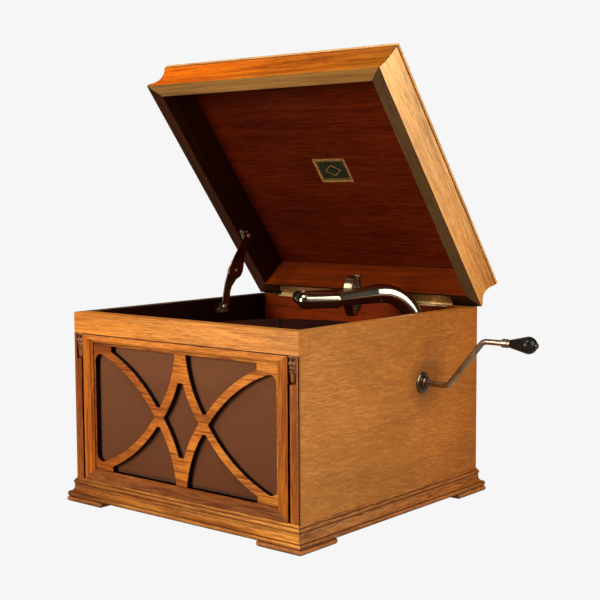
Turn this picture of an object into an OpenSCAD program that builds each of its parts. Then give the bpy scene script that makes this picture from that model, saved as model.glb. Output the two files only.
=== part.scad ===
// Table gramophone in oak, lid open, with an inside horn behind a fretwork grille.
// Millimetres, +Z up, +Y to the back. The origin lies midway under the feet.
// Everything is drawn with the lid open and the sound box thrown back over the arm.

/* [Case] */
// Width of the case body
case_w = 400; // [360:1:460]
// Depth of the case body
case_d = 392; // [360:1:450]
// Height of the case body above the plinth moulding
case_h = 229.5; // [215:0.5:270]
// Thickness of the case walls
wall = 16; // [12:0.5:20]
// Height of the rail across the top of the front
top_rail_h = 28.5; // [24:0.5:34]

/* [Plinth] */
// Height of the bracket feet
foot_h = 7.5; // [6:0.5:12]
// Length of each bracket foot along the case
foot_len = 60; // [40:1:90]
// Height of the moulding above the feet
plinth_h = 26; // [24:0.5:30]

/* [Grille] */
// Width of the grille frame's uprights
stile_w = 17.5; // [12:0.5:22]
// Width of the grille frame's top rail
frame_top_w = 10.5; // [8:0.5:16]
// Width of the grille frame's bottom rail
frame_bottom_w = 15.5; // [10:0.5:22]
// How far the fretwork lies behind the front face
fret_set = 10; // [7:0.5:12]
// Thickness of the fretwork board
fret_t = 8; // [5:0.5:10]
// Width of the two wide bands of the fretwork
band_w = 11; // [8:0.5:14]

/* [Lid] */
// Height of the closed lid above the case
lid_h = 54; // [50:0.5:70]
// How far the lid stands open, in degrees
lid_open = 52.2; // [40:0.1:60]
// Overhang of the lid's lower edge past the case sides
lid_over = 6.6; // [4:0.2:9]
// Thickness of the lid rails at the rim
lid_wall = 19; // [15:0.5:22]

/* [Deck] */
// Depth of the motor board below the rim
deck_drop = 50; // [44:0.5:58]
// Thickness of the motor board
deck_t = 12; // [9:0.5:15]

/* [Turntable] */
// Radius of the turntable
platter_r = 127; // [110:1:132]
// Height of the felt's top below the rim
felt_drop = 27; // [24:0.5:32]

/* [Tone arm] */
// Distance of the arm's pivot from the right wall's inner face
arm_gap = 44; // [40:0.5:48]
// Distance of the arm's pivot behind the spindle
arm_y = 130; // [124:0.5:134]
// Direction in which the arm points at rest, in degrees
arm_dir = 233.13; // [225:0.5:240]
// Radius of the arm's tube at the hump
arm_r = 13.2; // [11:0.1:14]
// Radius of the bend from the base to the hump
arm_bend = 50; // [44:0.5:52]

/* [Sound box] */
// Radius of the sound box
box_r = 29; // [25:0.5:31]
// Thickness of the sound box
box_t = 11; // [9:0.5:13]

/* [Crank] */
// Distance of the crank's axis behind the middle of the case
crank_y = 60; // [40:1:80]
// Depth of the crank's axis below the rim
crank_drop = 91; // [87:0.5:98]
// Offset of the handle from the crank's axis
throw = 62; // [45:1:75]
// Radius of the crank's rod
rod_r = 3.75; // [3:0.05:4.5]
// Radius of the wooden grip at its widest
grip_r = 11; // [8:0.5:14]

/* [Fits] */
// Gap on the radius of a turning fit
run_fit = 0.08; // [0.02:0.01:0.1]
// Gap between soft pieces and what they lie against
soft_fit = 0.3; // [0.2:0.05:0.5]
// Gap between flat pieces that slide past each other
side_fit = 0.3; // [0.2:0.05:0.5]

/* [Hidden] */
$fn = 64;
hw = case_w / 2;
hd = case_d / 2;
body_z = foot_h + plinth_h;
rim = body_z + case_h;
front = -hd;

// The bar of the front below the top rail
rail_z = rim - top_rail_h;
back_set = fret_set + fret_t + 1;
post_d = back_set + 1.5;
lip = 4.2;
post_in = hw - 13.7;
frame_out = hw - 17.5;
frame_in = frame_out - stile_w;
frame_top = rail_z - frame_top_w;
frame_bot = body_z + frame_bottom_w;

// Deck and turntable
deck_top = rim - deck_drop;
deck_under = deck_top - deck_t;
crank_z = rim - crank_drop;
felt_top = rim - felt_drop;
felt_t = 1.6;
platter_top = felt_top - felt_t - soft_fit;

// Lid
hinge_y = hd + 0.5;
hinge_z = rim;
lid_front_y = -hd - 5 + lid_over;
lid_back_y = hd - lid_over;
lid_mid_y = (lid_front_y + lid_back_y) / 2;
lid_dy = lid_back_y - lid_front_y;
top_t = 5.5;
panel_t = 2.5;
lid_in = lid_h - top_t - panel_t;

// Hinges
hinge_half = 56;
barrel_r = 3.2;
leaf_t = 1.6;
hinge_pin = 1.42;

// Arm
arm_x = hw - wall - arm_gap;
arm_top = rim + 21.5;
bend_z = arm_top - arm_bend;
sleeve_r = 11.6;
sleeve_z = rim + 13.9;
sleeve_a = 158;
head_z = rim + 15.5;
// Needle socket's end beyond the sound box, and its thumb screw behind the rim
needle_out = 1;
screw_in = 1.6;
head_y = -36;
box_a = 79;
box_y = -15 - 0.843 * box_r;
box_turn = 147.5;
n_a = cos(box_turn);
n_y = sin(box_turn);
neck_a = box_a - 20 * n_a;
neck_y = box_y - 20 * n_y;

// Stay
stay_x = -hw + wall;
stay_ay = 80.8;
stay_az = rim - 12.9;
stay_cv = hinge_y - 85.5;
stay_cw = 10;
stay_cy = hinge_y - stay_cv * cos(lid_open) + stay_cw * sin(lid_open);
stay_cz = hinge_z + stay_cv * sin(lid_open) + stay_cw * cos(lid_open);
stay_ac = norm([stay_cy - stay_ay, stay_cz - stay_az]);
stay_l1 = stay_ac * 0.5109;
stay_l2 = stay_ac * 0.4903;
stay_p = (stay_l1 * stay_l1 - stay_l2 * stay_l2 + stay_ac * stay_ac) / (2 * stay_ac);
stay_q = sqrt(stay_l1 * stay_l1 - stay_p * stay_p);
stay_uy = (stay_cy - stay_ay) / stay_ac;
stay_uz = (stay_cz - stay_az) / stay_ac;
stay_by = stay_ay + stay_p * stay_uy - stay_q * stay_uz;
stay_bz = stay_az + stay_p * stay_uz + stay_q * stay_uy;

// Brake pivot
brake_x = -128;
brake_y = -96;

// Motor
plate_t = 3;
motor_top = deck_under - 8;
motor_bot = motor_top - 73;
barrel_x = 10;
barrel_y = crank_y;
second_x = -25.1;
second_y = 24.4;
barrel_dir = atan2(second_y - barrel_y, second_x - barrel_x);
spindle_dir = atan2(-second_y, -second_x);
worm_y = -23.8;
worm_z = motor_bot + 17;

// Shared shapes

// A flat shape drawn in Y and Z, run along X
module along_x(len) {
  translate([-len / 2, 0, 0]) rotate([90, 0, 90]) linear_extrude(len) children();
}

// A flat shape drawn in X and Z, run along Y
module along_y(len) {
  translate([0, len / 2, 0]) rotate([90, 0, 0]) linear_extrude(len) children();
}

// The ground plan of one side of a mitred frame, seen as its front side
module mitre_plan(w, y0, y1) {
  m = 40;
  polygon([[-w / 2 - m, y0 - m], [w / 2 + m, y0 - m], [w / 2 - m, y0 + m], [-w / 2 + m, y0 + m]]);
}

module front_run(w, y0, y1, z0, z1) {
  intersection() {
    along_x(w + 60) translate([y0, 0]) mirror([1, 0]) children();
    translate([0, 0, z0]) linear_extrude(z1 - z0) mitre_plan(w, y0, y1);
  }
}

module back_run(w, y0, y1, z0, z1) {
  intersection() {
    along_x(w + 60) translate([y1, 0]) children();
    translate([0, 0, z0]) linear_extrude(z1 - z0)
      translate([0, y0 + y1]) mirror([0, 1]) mitre_plan(w, y0, y1);
  }
}

module right_run(w, y0, y1, z0, z1) {
  m = 40;
  intersection() {
    translate([0, (y0 + y1) / 2, 0]) along_y(y1 - y0 + 60) translate([w / 2, 0]) children();
    translate([0, 0, z0]) linear_extrude(z1 - z0) polygon([[w / 2 + m, y0 - m],
      [w / 2 + m, y1 + m], [w / 2 - m, y1 - m], [w / 2 - m, y0 + m]]);
  }
}

module left_run(w, y0, y1, z0, z1) {
  mirror([1, 0, 0]) right_run(w, y0, y1, z0, z1) children();
}

// A round bar from the given X along X
module bar_x(x0, x1, r) {
  translate([x0, 0, 0]) rotate([0, 90, 0]) cylinder(h = x1 - x0, r = r);
}

module bar_y(y0, y1, r) {
  translate([0, y0, 0]) rotate([-90, 0, 0]) cylinder(h = y1 - y0, r = r);
}

// A piece of a ring of round bar in the plane of X and Z; straight bars run a little into it
module bend_xz(cx, cz, from, to, big, r) {
  translate([cx, 0, cz]) rotate([90, 0, 0]) rotate([0, 0, from])
    rotate_extrude(angle = to - from) translate([big, 0]) circle(r = r - 0.03);
}

// A toothed wheel, given the number of teeth and the module
module gear(n, m, h, turn) {
  rp = m * n / 2;
  linear_extrude(h) union() {
    circle(r = rp - 1.2 * m);
    for (i = [0 : n - 1]) rotate(i * 360 / n + turn)
      polygon([[rp - 1.5 * m, -0.9 * m], [rp - 1.1 * m, -0.88 * m], [rp, -0.68 * m],
        [rp + 0.85 * m, -0.3 * m], [rp + 0.85 * m, 0.3 * m], [rp, 0.68 * m],
        [rp - 1.1 * m, 0.88 * m], [rp - 1.5 * m, 0.9 * m]]);
  }
}

// Turn that puts gear B in mesh with gear A, seen from A in direction phi
function mesh_turn(phi, na, ta, nb) = phi + 180 - 360 / nb * (0.5 - (phi - ta) * na / 360);

// Case

module side_board() {
  difference() {
    union() {
      translate([0, 0, body_z]) linear_extrude(rail_z - body_z)
        polygon([[hw - wall, front + post_d], [hw - lip, front + post_d], [hw - lip, front],
          [hw, front], [hw, hd], [hw - wall, hd]]);
      translate([hw - wall, front + post_d, rail_z]) cube([wall, case_d - post_d, top_rail_h]);
      // Cleat that carries the motor board
      translate([hw - wall - 11, front + 30, deck_under - 12]) cube([11.5, case_d - 60, 12]);
    }
    // Shadow line beside the front corner
    translate([hw - 0.5, front + 2, body_z - 1]) cube([2, 0.8, case_h - top_rail_h + 1]);
  }
}

module side_left() {
  color("#b9793a") mirror([1, 0, 0]) side_board();
}

module side_right() {
  color("#b9793a") difference() {
    side_board();
    // Hole for the crank
    translate([0, crank_y, crank_z]) bar_x(hw - wall - 20, hw + 2, rod_r + 2.5);
  }
}

module back_board() {
  color("#a06a35") difference() {
    translate([-hw + wall, hd - wall, body_z]) cube([case_w - 2 * wall, wall, case_h]);
    for (s = [-1, 1]) translate([s * 104, hd, rim]) hinge_seat(-1);
  }
}

// Recess for a hinge leaf: along X, from the back edge forward
module hinge_seat(dir) {
  len = 2 * hinge_half + 0.4;
  translate([-len / 2, -wall - 0.4, dir > 0 ? -0.01 : -leaf_t - 0.05])
    cube([len, wall + 4, leaf_t + 0.06]);
  translate([0, hinge_y - hd, 0]) bar_x(-len / 2, len / 2, barrel_r + side_fit);
}

module bottom_board() {
  color("#8a5a2e") translate([-hw + wall, front + back_set + 3, body_z])
    cube([case_w - 2 * wall, case_d - back_set - 3 - wall, 8]);
}

module top_rail() {
  color("#c9802f") translate([-hw, front, rail_z]) cube([case_w, post_d, top_rail_h]);
}

module post() {
  drop_h = 34.5;
  difference() {
    translate([0, 0, body_z]) linear_extrude(rail_z - body_z)
      polygon([[post_in, front], [hw - lip - 0.3, front], [hw - lip, front + 0.6],
        [hw - lip, front + post_d], [frame_in + 6, front + post_d],
        [frame_in + 6, front + back_set], [post_in, front + back_set]]);
    // Sinking for the carved drop
    translate([post_in - 1, front - 1, rail_z - drop_h])
      cube([hw - lip - post_in + 2, 4.5, drop_h + 1]);
  }
}

module post_left() {
  color("#b8702b") mirror([1, 0, 0]) post();
}

module post_right() {
  color("#b8702b") post();
}

// Carved pendant at the head of each post: two leaves, a bead and a tongue
module drop_carving() {
  cx = (frame_out + hw - lip) / 2 + 0.3;
  translate([cx, front + 3.5, rail_z]) {
    intersection() {
      union() {
        translate([0, 0, -1.2]) rotate([0, 90, 0]) translate([0, 0, -5.9])
          cylinder(h = 11.8, r = 3.0, $fn = 32);
        for (s = [-1, 1]) {
          translate([s * 3.1, 0.2, -9.5]) scale(1) sphere(r = 4.1, $fn = 32);
          translate([s * 3.0, 0.6, -14.6]) sphere(r = 3.3, $fn = 32);
          translate([s * 4.4, 1.0, -5.4]) sphere(r = 2.3, $fn = 32);
        }
        translate([0, -0.6, -12.5]) rotate([180, 0, 0])
          cylinder(h = 7, r1 = 2.1, r2 = 1.2, $fn = 32);
        translate([0, 0.4, -19.4]) rotate([0, 90, 0]) translate([0, 0, -5.4])
          cylinder(h = 10.8, r = 1.9, $fn = 32);
        translate([0, 1.2, -20.5]) rotate([180, 0, 0]) cylinder(h = 9, r1 = 4.9, r2 = 4.2, $fn = 32);
        translate([0, 1.2, -29.5]) sphere(r = 4.2, $fn = 32);
        translate([0, -0.6, -21.5]) rotate([180, 0, 0])
          cylinder(h = 8.5, r1 = 2.9, r2 = 1.6, $fn = 32);
      }
      translate([-6, -4.6, -34]) cube([12, 4.6, 34]);
    }
  }
}

module drop_carvings() {
  color("#7a4a22") for (s = [0, 1]) mirror([s, 0, 0]) drop_carving();
}

// Plinth profile, with its outward side to the right
module plinth_profile() {
  t = body_z;
  difference() {
    union() {
      polygon([[-24, foot_h], [2.4, foot_h], [2.4, t - 6], [2.3, t - 3.4], [0, t], [-24, t]]);
      translate([0.4, t - 6.0]) circle(r = 3.1);
      translate([0, foot_h + 1]) square([8.8, plinth_h - 13.5]);
      translate([0, foot_h]) square([8.6, 2]);
      translate([6.9, foot_h + 3.1]) circle(r = 2.7);
    }
    translate([9.2, t - 12.9]) circle(r = 6.7);
    translate([-30, t]) square([60, 10]);
    translate([-30, foot_h - 10]) square([60, 10]);
  }
}

module plinth_front() {
  color("#b9742e") front_run(case_w, front, hd, 0, body_z + 1) plinth_profile();
}

module plinth_back() {
  color("#a5682c") back_run(case_w, front, hd, 0, body_z + 1) plinth_profile();
}

module plinth_left() {
  color("#a96c33") left_run(case_w, front, hd, 0, body_z + 1) plinth_profile();
}

module plinth_right() {
  color("#a96c33") right_run(case_w, front, hd, 0, body_z + 1) plinth_profile();
}

// Foot profile, a flat sole with a rounded nose
module foot_profile() {
  r = foot_h / 2;
  translate([-24, 0]) square([24 + 10.2 - r, foot_h]);
  translate([10.2 - r, r]) circle(r = r);
}

// Bracket foot at the front right corner
module foot() {
  er = 5;
  difference() {
    union() {
      intersection() {
        front_run(case_w, front, hd, -1, foot_h) foot_profile();
        translate([hw - foot_len, front - 20, -1]) cube([foot_len + 20, 60, foot_h + 2]);
      }
      intersection() {
        right_run(case_w, front, hd, -1, foot_h) foot_profile();
        translate([hw - 40, front - 20, -1]) cube([60, foot_len + 20, foot_h + 2]);
      }
    }
    // Rounded inner ends
    translate([hw - foot_len, front, 0]) rotate([90, 0, 0]) translate([0, 0, -30])
      linear_extrude(60) difference() {
        translate([-1, -1]) square([er + 1, er + 1]);
        translate([er, er]) circle(r = er);
      }
    translate([hw, front + foot_len, 0]) rotate([90, 0, -90]) translate([0, 0, -20])
      linear_extrude(60) difference() {
        translate([-1, -1]) square([er + 1, er + 1]);
        translate([er, er]) circle(r = er);
      }
  }
}

module foot_front_left() {
  color("#a3662b") mirror([1, 0, 0]) foot();
}

module foot_front_right() {
  color("#a3662b") foot();
}

module foot_back_left() {
  color("#a3662b") mirror([0, 1, 0]) mirror([1, 0, 0]) foot();
}

module foot_back_right() {
  color("#a3662b") mirror([0, 1, 0]) foot();
}

// Grille frame: a bevelled inner edge and a rebate for the fretwork
module frame_profile(w) {
  polygon([[0, 0], [w - 3, 0], [w, 2.6], [w, fret_set], [w - 6, fret_set],
    [w - 6, back_set - 0.2], [0, back_set - 0.2]]);
}

module frame_stile() {
  difference() {
    translate([0, 0, body_z]) linear_extrude(rail_z - body_z)
      translate([frame_out, front]) mirror([1, 0]) frame_profile(stile_w);
    frame_mitres();
  }
}

// Cuts that give the frame its mitred corners
module frame_mitres() {
  x = frame_out;
  translate([0, front - 1, 0]) rotate([-90, 0, 0]) linear_extrude(30)
    for (s = [-1, 1]) polygon([[s * x, -rail_z], [s * (x - stile_w), -frame_top],
      [0, -frame_top], [0, -rail_z - 1], [s * x, -rail_z - 1]]);
  translate([0, front - 1, 0]) rotate([-90, 0, 0]) linear_extrude(30)
    for (s = [-1, 1]) polygon([[s * x, -body_z], [s * (x - stile_w), -frame_bot],
      [0, -frame_bot], [0, -body_z + 1], [s * x, -body_z + 1]]);
}

module frame_bar(z0, w, up) {
  along_x(2 * frame_out) translate([0, z0]) mirror([0, up ? 0 : 1])
    polygon([[front, 0], [front, w - 3], [front + 2.6, w], [front + fret_set, w],
      [front + fret_set, w - 6], [front + back_set - 0.2, w - 6], [front + back_set - 0.2, 0]]);
}

module frame_top_rail() {
  color("#c77c2d") intersection() {
    frame_bar(rail_z, frame_top_w, false);
    frame_mitres();
  }
}

module frame_bottom_rail() {
  color("#bd7430") intersection() {
    frame_bar(body_z, frame_bottom_w, true);
    frame_mitres();
  }
}

module frame_left() {
  color("#bf762d") mirror([1, 0, 0]) frame_stile();
}

module frame_right() {
  color("#bf762d") frame_stile();
}

// Centre and radius of the circle through three points
function circ3(a, b, c) = let (
  d = 2 * (a[0] * (b[1] - c[1]) + b[0] * (c[1] - a[1]) + c[0] * (a[1] - b[1])),
  ux = ((a * a) * (b[1] - c[1]) + (b * b) * (c[1] - a[1]) + (c * c) * (a[1] - b[1])) / d,
  uy = ((a * a) * (c[0] - b[0]) + (b * b) * (a[0] - c[0]) + (c * c) * (b[0] - a[0])) / d
) [ux, uy, norm([ux - a[0], uy - a[1]])];

fret_mid = (frame_top + frame_bot) / 2 - 2;
fh = (frame_top - frame_bot) / 2 - 2;
fw = frame_in;
// Upper right quarter of the fretwork, measured from its middle
wide = circ3([0.291 * fw, 0], [0.588 * fw, 0.55 * fh], [0.909 * fw, 0.86 * fh]);
steep = circ3([0.058 * fw, fh], [0.109 * fw, 0.59 * fh], [0.228 * fw, 0.165 * fh]);
steep_w = 13.2;

module disc_at(c, r) {
  translate([c[0], c[1]]) circle(r = r, $fn = 180);
}

module side_gap() {
  x1 = fw - 3;
  z1 = 0.86 * fh;
  er = 10;
  intersection() {
    disc_at([wide[0], wide[1]], wide[2]);
    disc_at([wide[0], -wide[1]], wide[2]);
    union() {
      translate([0, -z1]) square([x1 - er, 2 * z1]);
      translate([0, -z1 + er]) square([x1, 2 * z1 - 2 * er]);
      for (s = [-1, 1]) translate([x1 - er, s * (z1 - er)]) circle(r = er);
    }
  }
}

module top_gap() {
  difference() {
    intersection() {
      disc_at([steep[0], steep[1]], steep[2]);
      translate([0, 0.15 * fh]) square([0.79 * fw, 0.85 * fh]);
    }
    disc_at([wide[0], wide[1]], wide[2] + band_w);
  }
}

module middle_gap() {
  tip = 0.565 * fh;
  difference() {
    translate([-0.25 * fw, -tip]) square([0.5 * fw, 2 * tip]);
    for (s = [-1, 1]) for (t = [-1, 1])
      disc_at([s * steep[0], t * steep[1]], steep[2] + steep_w);
  }
}

module fret_panel() {
  color("#c07a33") translate([0, front + fret_set + fret_t, fret_mid]) rotate([90, 0, 0])
    linear_extrude(fret_t) difference() {
      translate([-fw - 5.6, frame_bot - fret_mid - 5.6])
        square([2 * fw + 11.2, frame_top - frame_bot + 11.2]);
      for (s = [0, 1]) mirror([s, 0]) {
        side_gap();
        top_gap();
        mirror([0, 1]) top_gap();
      }
      middle_gap();
    }
}

module grille_cloth() {
  color("#6d4c38") translate([-fw - 4, front + fret_set + fret_t + soft_fit, frame_bot - 4])
    cube([2 * fw + 8, 0.9, frame_top - frame_bot + 8]);
}

module motor_board() {
  color("#6a2f1a") difference() {
    translate([-hw + wall, front + post_d, deck_under])
      cube([case_w - 2 * wall, case_d - post_d - wall, deck_t]);
    // Holes for the spindle, the sound way, the speed knob and the motor's screws
    translate([0, 0, deck_under - 1]) cylinder(h = deck_t + 2, r = 9);
    translate([arm_x, arm_y, deck_under - 1]) cylinder(h = deck_t + 2, r = arm_r + 1.5);
    translate([-140, -140, deck_under - 1]) cylinder(h = deck_t + 2, r = 3.5 + run_fit);
  }
}

// Lid, drawn closed and swung open by lid_pose

module lid_pose() {
  translate([0, hinge_y, hinge_z]) rotate([-lid_open, 0, 0])
    translate([0, -hinge_y, -hinge_z]) children();
}

// Rail profile: rim edge, wide hollow, square top; the inner side leans in
module lid_profile() {
  h = lid_h - top_t;
  mid = h / 2 + 1;
  sag = lid_over - 1.9;
  half = h / 2 - 4;
  big = (half * half + sag * sag) / (2 * sag);
  difference() {
    polygon([[lid_over, 0], [lid_over, h], [-lid_wall + lid_over - 9, h],
      [-lid_wall + lid_over - 9, lid_in], [-lid_wall + lid_over, 0]]);
    translate([1.9 + big, mid]) circle(r = big, $fn = 240);
  }
}

module lid_front() {
  color("#c27a30") lid_pose() front_run(case_w, lid_front_y, lid_back_y, rim, rim + 80)
    translate([0, rim]) lid_profile();
}

module lid_back() {
  color("#7a3c1e") lid_pose() difference() {
    back_run(case_w, lid_front_y, lid_back_y, rim, rim + 80) translate([0, rim]) lid_profile();
    for (s = [-1, 1]) translate([s * 104, hd, rim]) hinge_seat(1);
  }
}

module lid_left() {
  color("#8a4a24") lid_pose() left_run(case_w, lid_front_y, lid_back_y, rim, rim + 80)
    translate([0, rim]) lid_profile();
}

module lid_right() {
  color("#b9753a") lid_pose() right_run(case_w, lid_front_y, lid_back_y, rim, rim + 80)
    translate([0, rim]) lid_profile();
}

module lid_top() {
  ov = lid_over + 0.9;
  er = 1.4;
  color("#bb7434") lid_pose() translate([0, 0, rim + lid_h - top_t]) union() {
    translate([-hw - ov, lid_front_y - ov, 0])
      cube([case_w + 2 * ov, lid_dy + 2 * ov, top_t - er]);
    translate([-hw - ov + er, lid_front_y - ov + er, 0])
      cube([case_w + 2 * ov - 2 * er, lid_dy + 2 * ov - 2 * er, top_t]);
  }
}

module lid_panel() {
  inset = lid_wall - lid_over + 9;
  color("#5c2412") lid_pose() translate([-hw + inset, lid_front_y + inset, rim + lid_in])
    cube([case_w - 2 * inset, lid_dy - 2 * inset, panel_t]);
}

// Hinges

// One leaf with its share of the barrel, lying forward of the pin
module leaf(odd, bore) {
  n = 7;
  seg = 2 * hinge_half / n;
  union() {
    difference() {
      translate([-hinge_half, hd - hinge_y - wall, 0])
        cube([2 * hinge_half, wall + hinge_y - hd, leaf_t]);
      // Knuckles of the other leaf
      for (i = [0 : n - 1]) if ((i % 2 == 0) != odd)
        translate([-hinge_half + i * seg - 0.2, -barrel_r - 0.5, -2])
          cube([seg + 0.4, barrel_r + 2, 6]);
      for (s = [-1, 1]) translate([s * (hinge_half + 0.01), hd - hinge_y - wall, -1])
        rotate([0, 0, 45]) cube([9, 9, 6], center = true);
      // Countersunk screw holes
      for (x = [-40, 0, 40]) translate([x, -12, 0]) {
        translate([0, 0, -1]) cylinder(h = 4, r = 1.3);
        translate([0, 0, -1]) cylinder(h = 1.95, r = 2.75);
      }
      bar_x(-hinge_half - 1, hinge_half + 1, bore);
    }
    for (i = [0 : n - 1]) if ((i % 2 == 0) == odd) difference() {
      bar_x(-hinge_half + i * seg + 0.1, -hinge_half + (i + 1) * seg - 0.1, barrel_r);
      bar_x(-hinge_half - 1, hinge_half + 1, bore);
    }
  }
}

module hinge_case_leaves() {
  color("#b58a45") for (s = [-1, 1]) translate([s * 104, hinge_y, rim]) {
    mirror([0, 0, 1]) leaf(true, hinge_pin / 2);
    // The pin, fast in this leaf
    bar_x(-hinge_half, hinge_half, hinge_pin);
  }
}

module hinge_lid_leaves() {
  color("#c69a50") lid_pose() for (s = [-1, 1]) translate([s * 104, hinge_y, rim])
    leaf(false, hinge_pin + run_fit);
}

// A round-headed or flush screw with a slot, its head looking up
module screw(r, h, len) {
  difference() {
    union() {
      intersection() {
        cylinder(h = h, r = r, $fn = 32);
        translate([0, 0, h - 1.5 * r]) sphere(r = 1.5 * r, $fn = 32);
      }
      translate([0, 0, -len]) cylinder(h = len + 0.1, r = r * 0.45, $fn = 32);
    }
    translate([-r, -0.25, h - 0.5]) cube([2 * r, 0.5, 1]);
  }
}

module case_screws() {
  color("#8d7440") {
    // Pivot screw of the brake lever
    translate([brake_x, brake_y, deck_top - 6]) cylinder(h = 16.2, r = 2);
    translate([brake_x, brake_y, deck_top + 10.2]) screw(3.4, 1.2, 1);
    for (s = [-1, 1]) for (x = [-40, 0, 40])
      translate([s * 104 + x, hinge_y - 12, rim - 0.85]) screw(2.6, 0.8, 8);
    for (p = case_screw_at)
      translate([stay_x + 1.65, stay_ay + p[0], stay_az + p[1]]) rotate([0, 90, 0])
        screw(1.7, 0.75, 7);
  }
}

module lid_screws() {
  color("#8d7440") lid_pose() {
    for (s = [-1, 1]) for (x = [-40, 0, 40])
      translate([s * 104 + x, hinge_y - 12, rim + 0.85]) rotate([180, 0, 0]) screw(2.6, 0.8, 8);
    for (p = [[-8.5, -1.5], [-3.5, 4.6], [3.5, 4.6], [8.5, -1.5]])
      translate([stay_x + 0.9, hinge_y - stay_cv + p[0], rim + stay_cw + p[1]])
        rotate([0, 90, 0]) screw(1.7, 0.9, 7);
  }
}

// Folding stay on the left

// Distance of the lid's inner side from the case side, at a height above the rim
function lid_in_x(w) = lid_wall - lid_over + 9 * w / lid_in + 0.02;

// A link lying in Y and Z between two points, with round eyes
module link(y0, z0, y1, z1, x, t, e0, e1, w, h0, h1) {
  len = norm([y1 - y0, z1 - z0]);
  translate([x, y0, z0]) rotate([atan2(z1 - z0, y1 - y0), 0, 0]) rotate([90, 0, 90])
    linear_extrude(t) difference() {
      union() {
        circle(r = e0);
        translate([len, 0]) circle(r = e1);
        translate([0, -w / 2]) square([len, w]);
        // Curved shoulder towards the knuckle
        intersection() {
          translate([len * 0.62, 0]) circle(r = 10.5);
          translate([len * 0.3, -w * 0.85]) square([len * 0.7, w * 1.7]);
        }
      }
      circle(r = h0);
      translate([len, 0]) circle(r = h1);
    }
}

module rivet_x(x0, x1, y, z) {
  translate([0, y, z]) {
    bar_x(x0, x1 + 0.2, pin_r);
    translate([x1, 0, 0]) rotate([0, 90, 0]) rotate_extrude()
      polygon([[0, 0], [3.4, 0], [3.4, 0.5], [2.9, 1.1], [1.8, 1.5], [0, 1.6]]);
  }
}

case_screw_at = [[-8.5, -3], [-1, -6], [6.5, -3]];
pin_r = 1.8;
link_x1 = stay_x + 2.6;
link_x2 = link_x1 + 2;

module stay_case_bracket() {
  color("#9a8a68") {
    difference() {
      translate([stay_x, stay_ay, stay_az]) rotate([90, 0, 90]) linear_extrude(1.6) union() {
        circle(r = 7);
        translate([-11, -9]) square([20, 8]);
        translate([-11, -5]) circle(r = 4);
        translate([9, -5]) circle(r = 4);
      }
      for (p = case_screw_at) translate([0, stay_ay + p[0], stay_az + p[1]])
        bar_x(stay_x - 1, stay_x + 2, 0.9);
    }
    rivet_x(stay_x + 1.5, link_x1 + 1.75, stay_ay, stay_az);
  }
}

module stay_lower_link() {
  color("#8f8064") {
    link(stay_ay, stay_az, stay_by, stay_bz, link_x1, 1.6, 6, 12.5, 9, pin_r + run_fit, 0.8);
    translate([0, stay_by, stay_bz]) bar_x(link_x1 + 0.2, link_x1 + 1.4, pin_r);
  }
}

module stay_upper_link() {
  // The rivet at the knuckle ends at the lower link's face, as the model leaves that pivot open
  color("#9a8a68") {
    link(stay_by, stay_bz, stay_cy, stay_cz, link_x2, 1.6, 12.5, 6, 9, 0.8, pin_r + run_fit);
    rivet_x(link_x2 + 0.2, link_x2 + 1.5, stay_by, stay_bz);
  }
}

module stay_lid_bracket() {
  color("#8f8064") {
    lid_pose() translate([0, hinge_y - stay_cv, rim + stay_cw]) {
      difference() {
        translate([-hw, 0, 0]) rotate([90, 0, 90]) linear_extrude(stay_x + 0.9 + hw) union() {
          circle(r = 7.4);
          translate([-10, -6]) square([20, 8]);
          for (s = [-1, 1]) translate([s * 9, -2]) circle(r = 4);
        }
        // Foot cut to the slope of the lid's inner side
        translate([-hw, 0, -stay_cw]) along_y(60)
          polygon([[-9, -20], [lid_in_x(-20), -20], [lid_in_x(40), 40], [-9, 40]]);
        for (p = [[-8.5, -1.5], [-3.5, 4.6], [3.5, 4.6], [8.5, -1.5]])
          translate([0, p[0], p[1]]) bar_x(-hw, stay_x + 2, 0.9);
      }
      bar_x(stay_x + 0.8, link_x2 - 0.3, 3.6);
    }
    rivet_x(link_x2 - 0.4, link_x2 + 1.75, stay_cy, stay_cz);
  }
}

// Turntable

module platter() {
  z0 = platter_top - 12;
  color("#9a9a98") translate([0, 0, 0]) rotate_extrude($fn = 180)
    polygon([[6.5, platter_top], [platter_r - 1, platter_top], [platter_r, platter_top - 1],
      [platter_r, z0], [platter_r - 2, z0], [platter_r - 2, platter_top - 2.4],
      [17, platter_top - 2.4], [14, platter_top - 9], [6.5, platter_top - 9]]);
}

module felt_mat() {
  color("#6b3a26") translate([0, 0, felt_top - felt_t]) difference() {
    cylinder(h = felt_t, r = platter_r - 1.5, $fn = 180);
    translate([0, 0, -1]) cylinder(h = 4, r = 6.2);
  }
}

// Spindle with the driving pinion and the worm wheel on it
module spindle() {
  color("#a8a8a6") {
    translate([0, 0, motor_bot + 1]) cylinder(h = felt_top + 11 - motor_bot - 1, r = 3.6);
    translate([0, 0, felt_top + 11]) sphere(r = 3.6);
    // Taper that carries the turntable
    translate([0, 0, platter_top - 9.2]) cylinder(h = 9, r1 = 6.5, r2 = 6.3);
    translate([0, 0, platter_top - 14]) cylinder(h = 4.9, r = 8);
    // Collar on which the record's middle rests
    translate([0, 0, platter_top - 0.5]) cylinder(h = felt_top - platter_top + 0.5, r = 5.9);
    translate([0, 0, motor_bot + 27]) gear(14, 1, 9, mesh_turn(spindle_dir, 56, 0, 14));
    translate([0, 0, worm_z - 3]) gear(50, 0.8, 6, 0);
  }
}

// Tone arm

module arm_frame() {
  translate([arm_x, arm_y, 0]) rotate([0, 0, arm_dir]) children();
}

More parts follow.
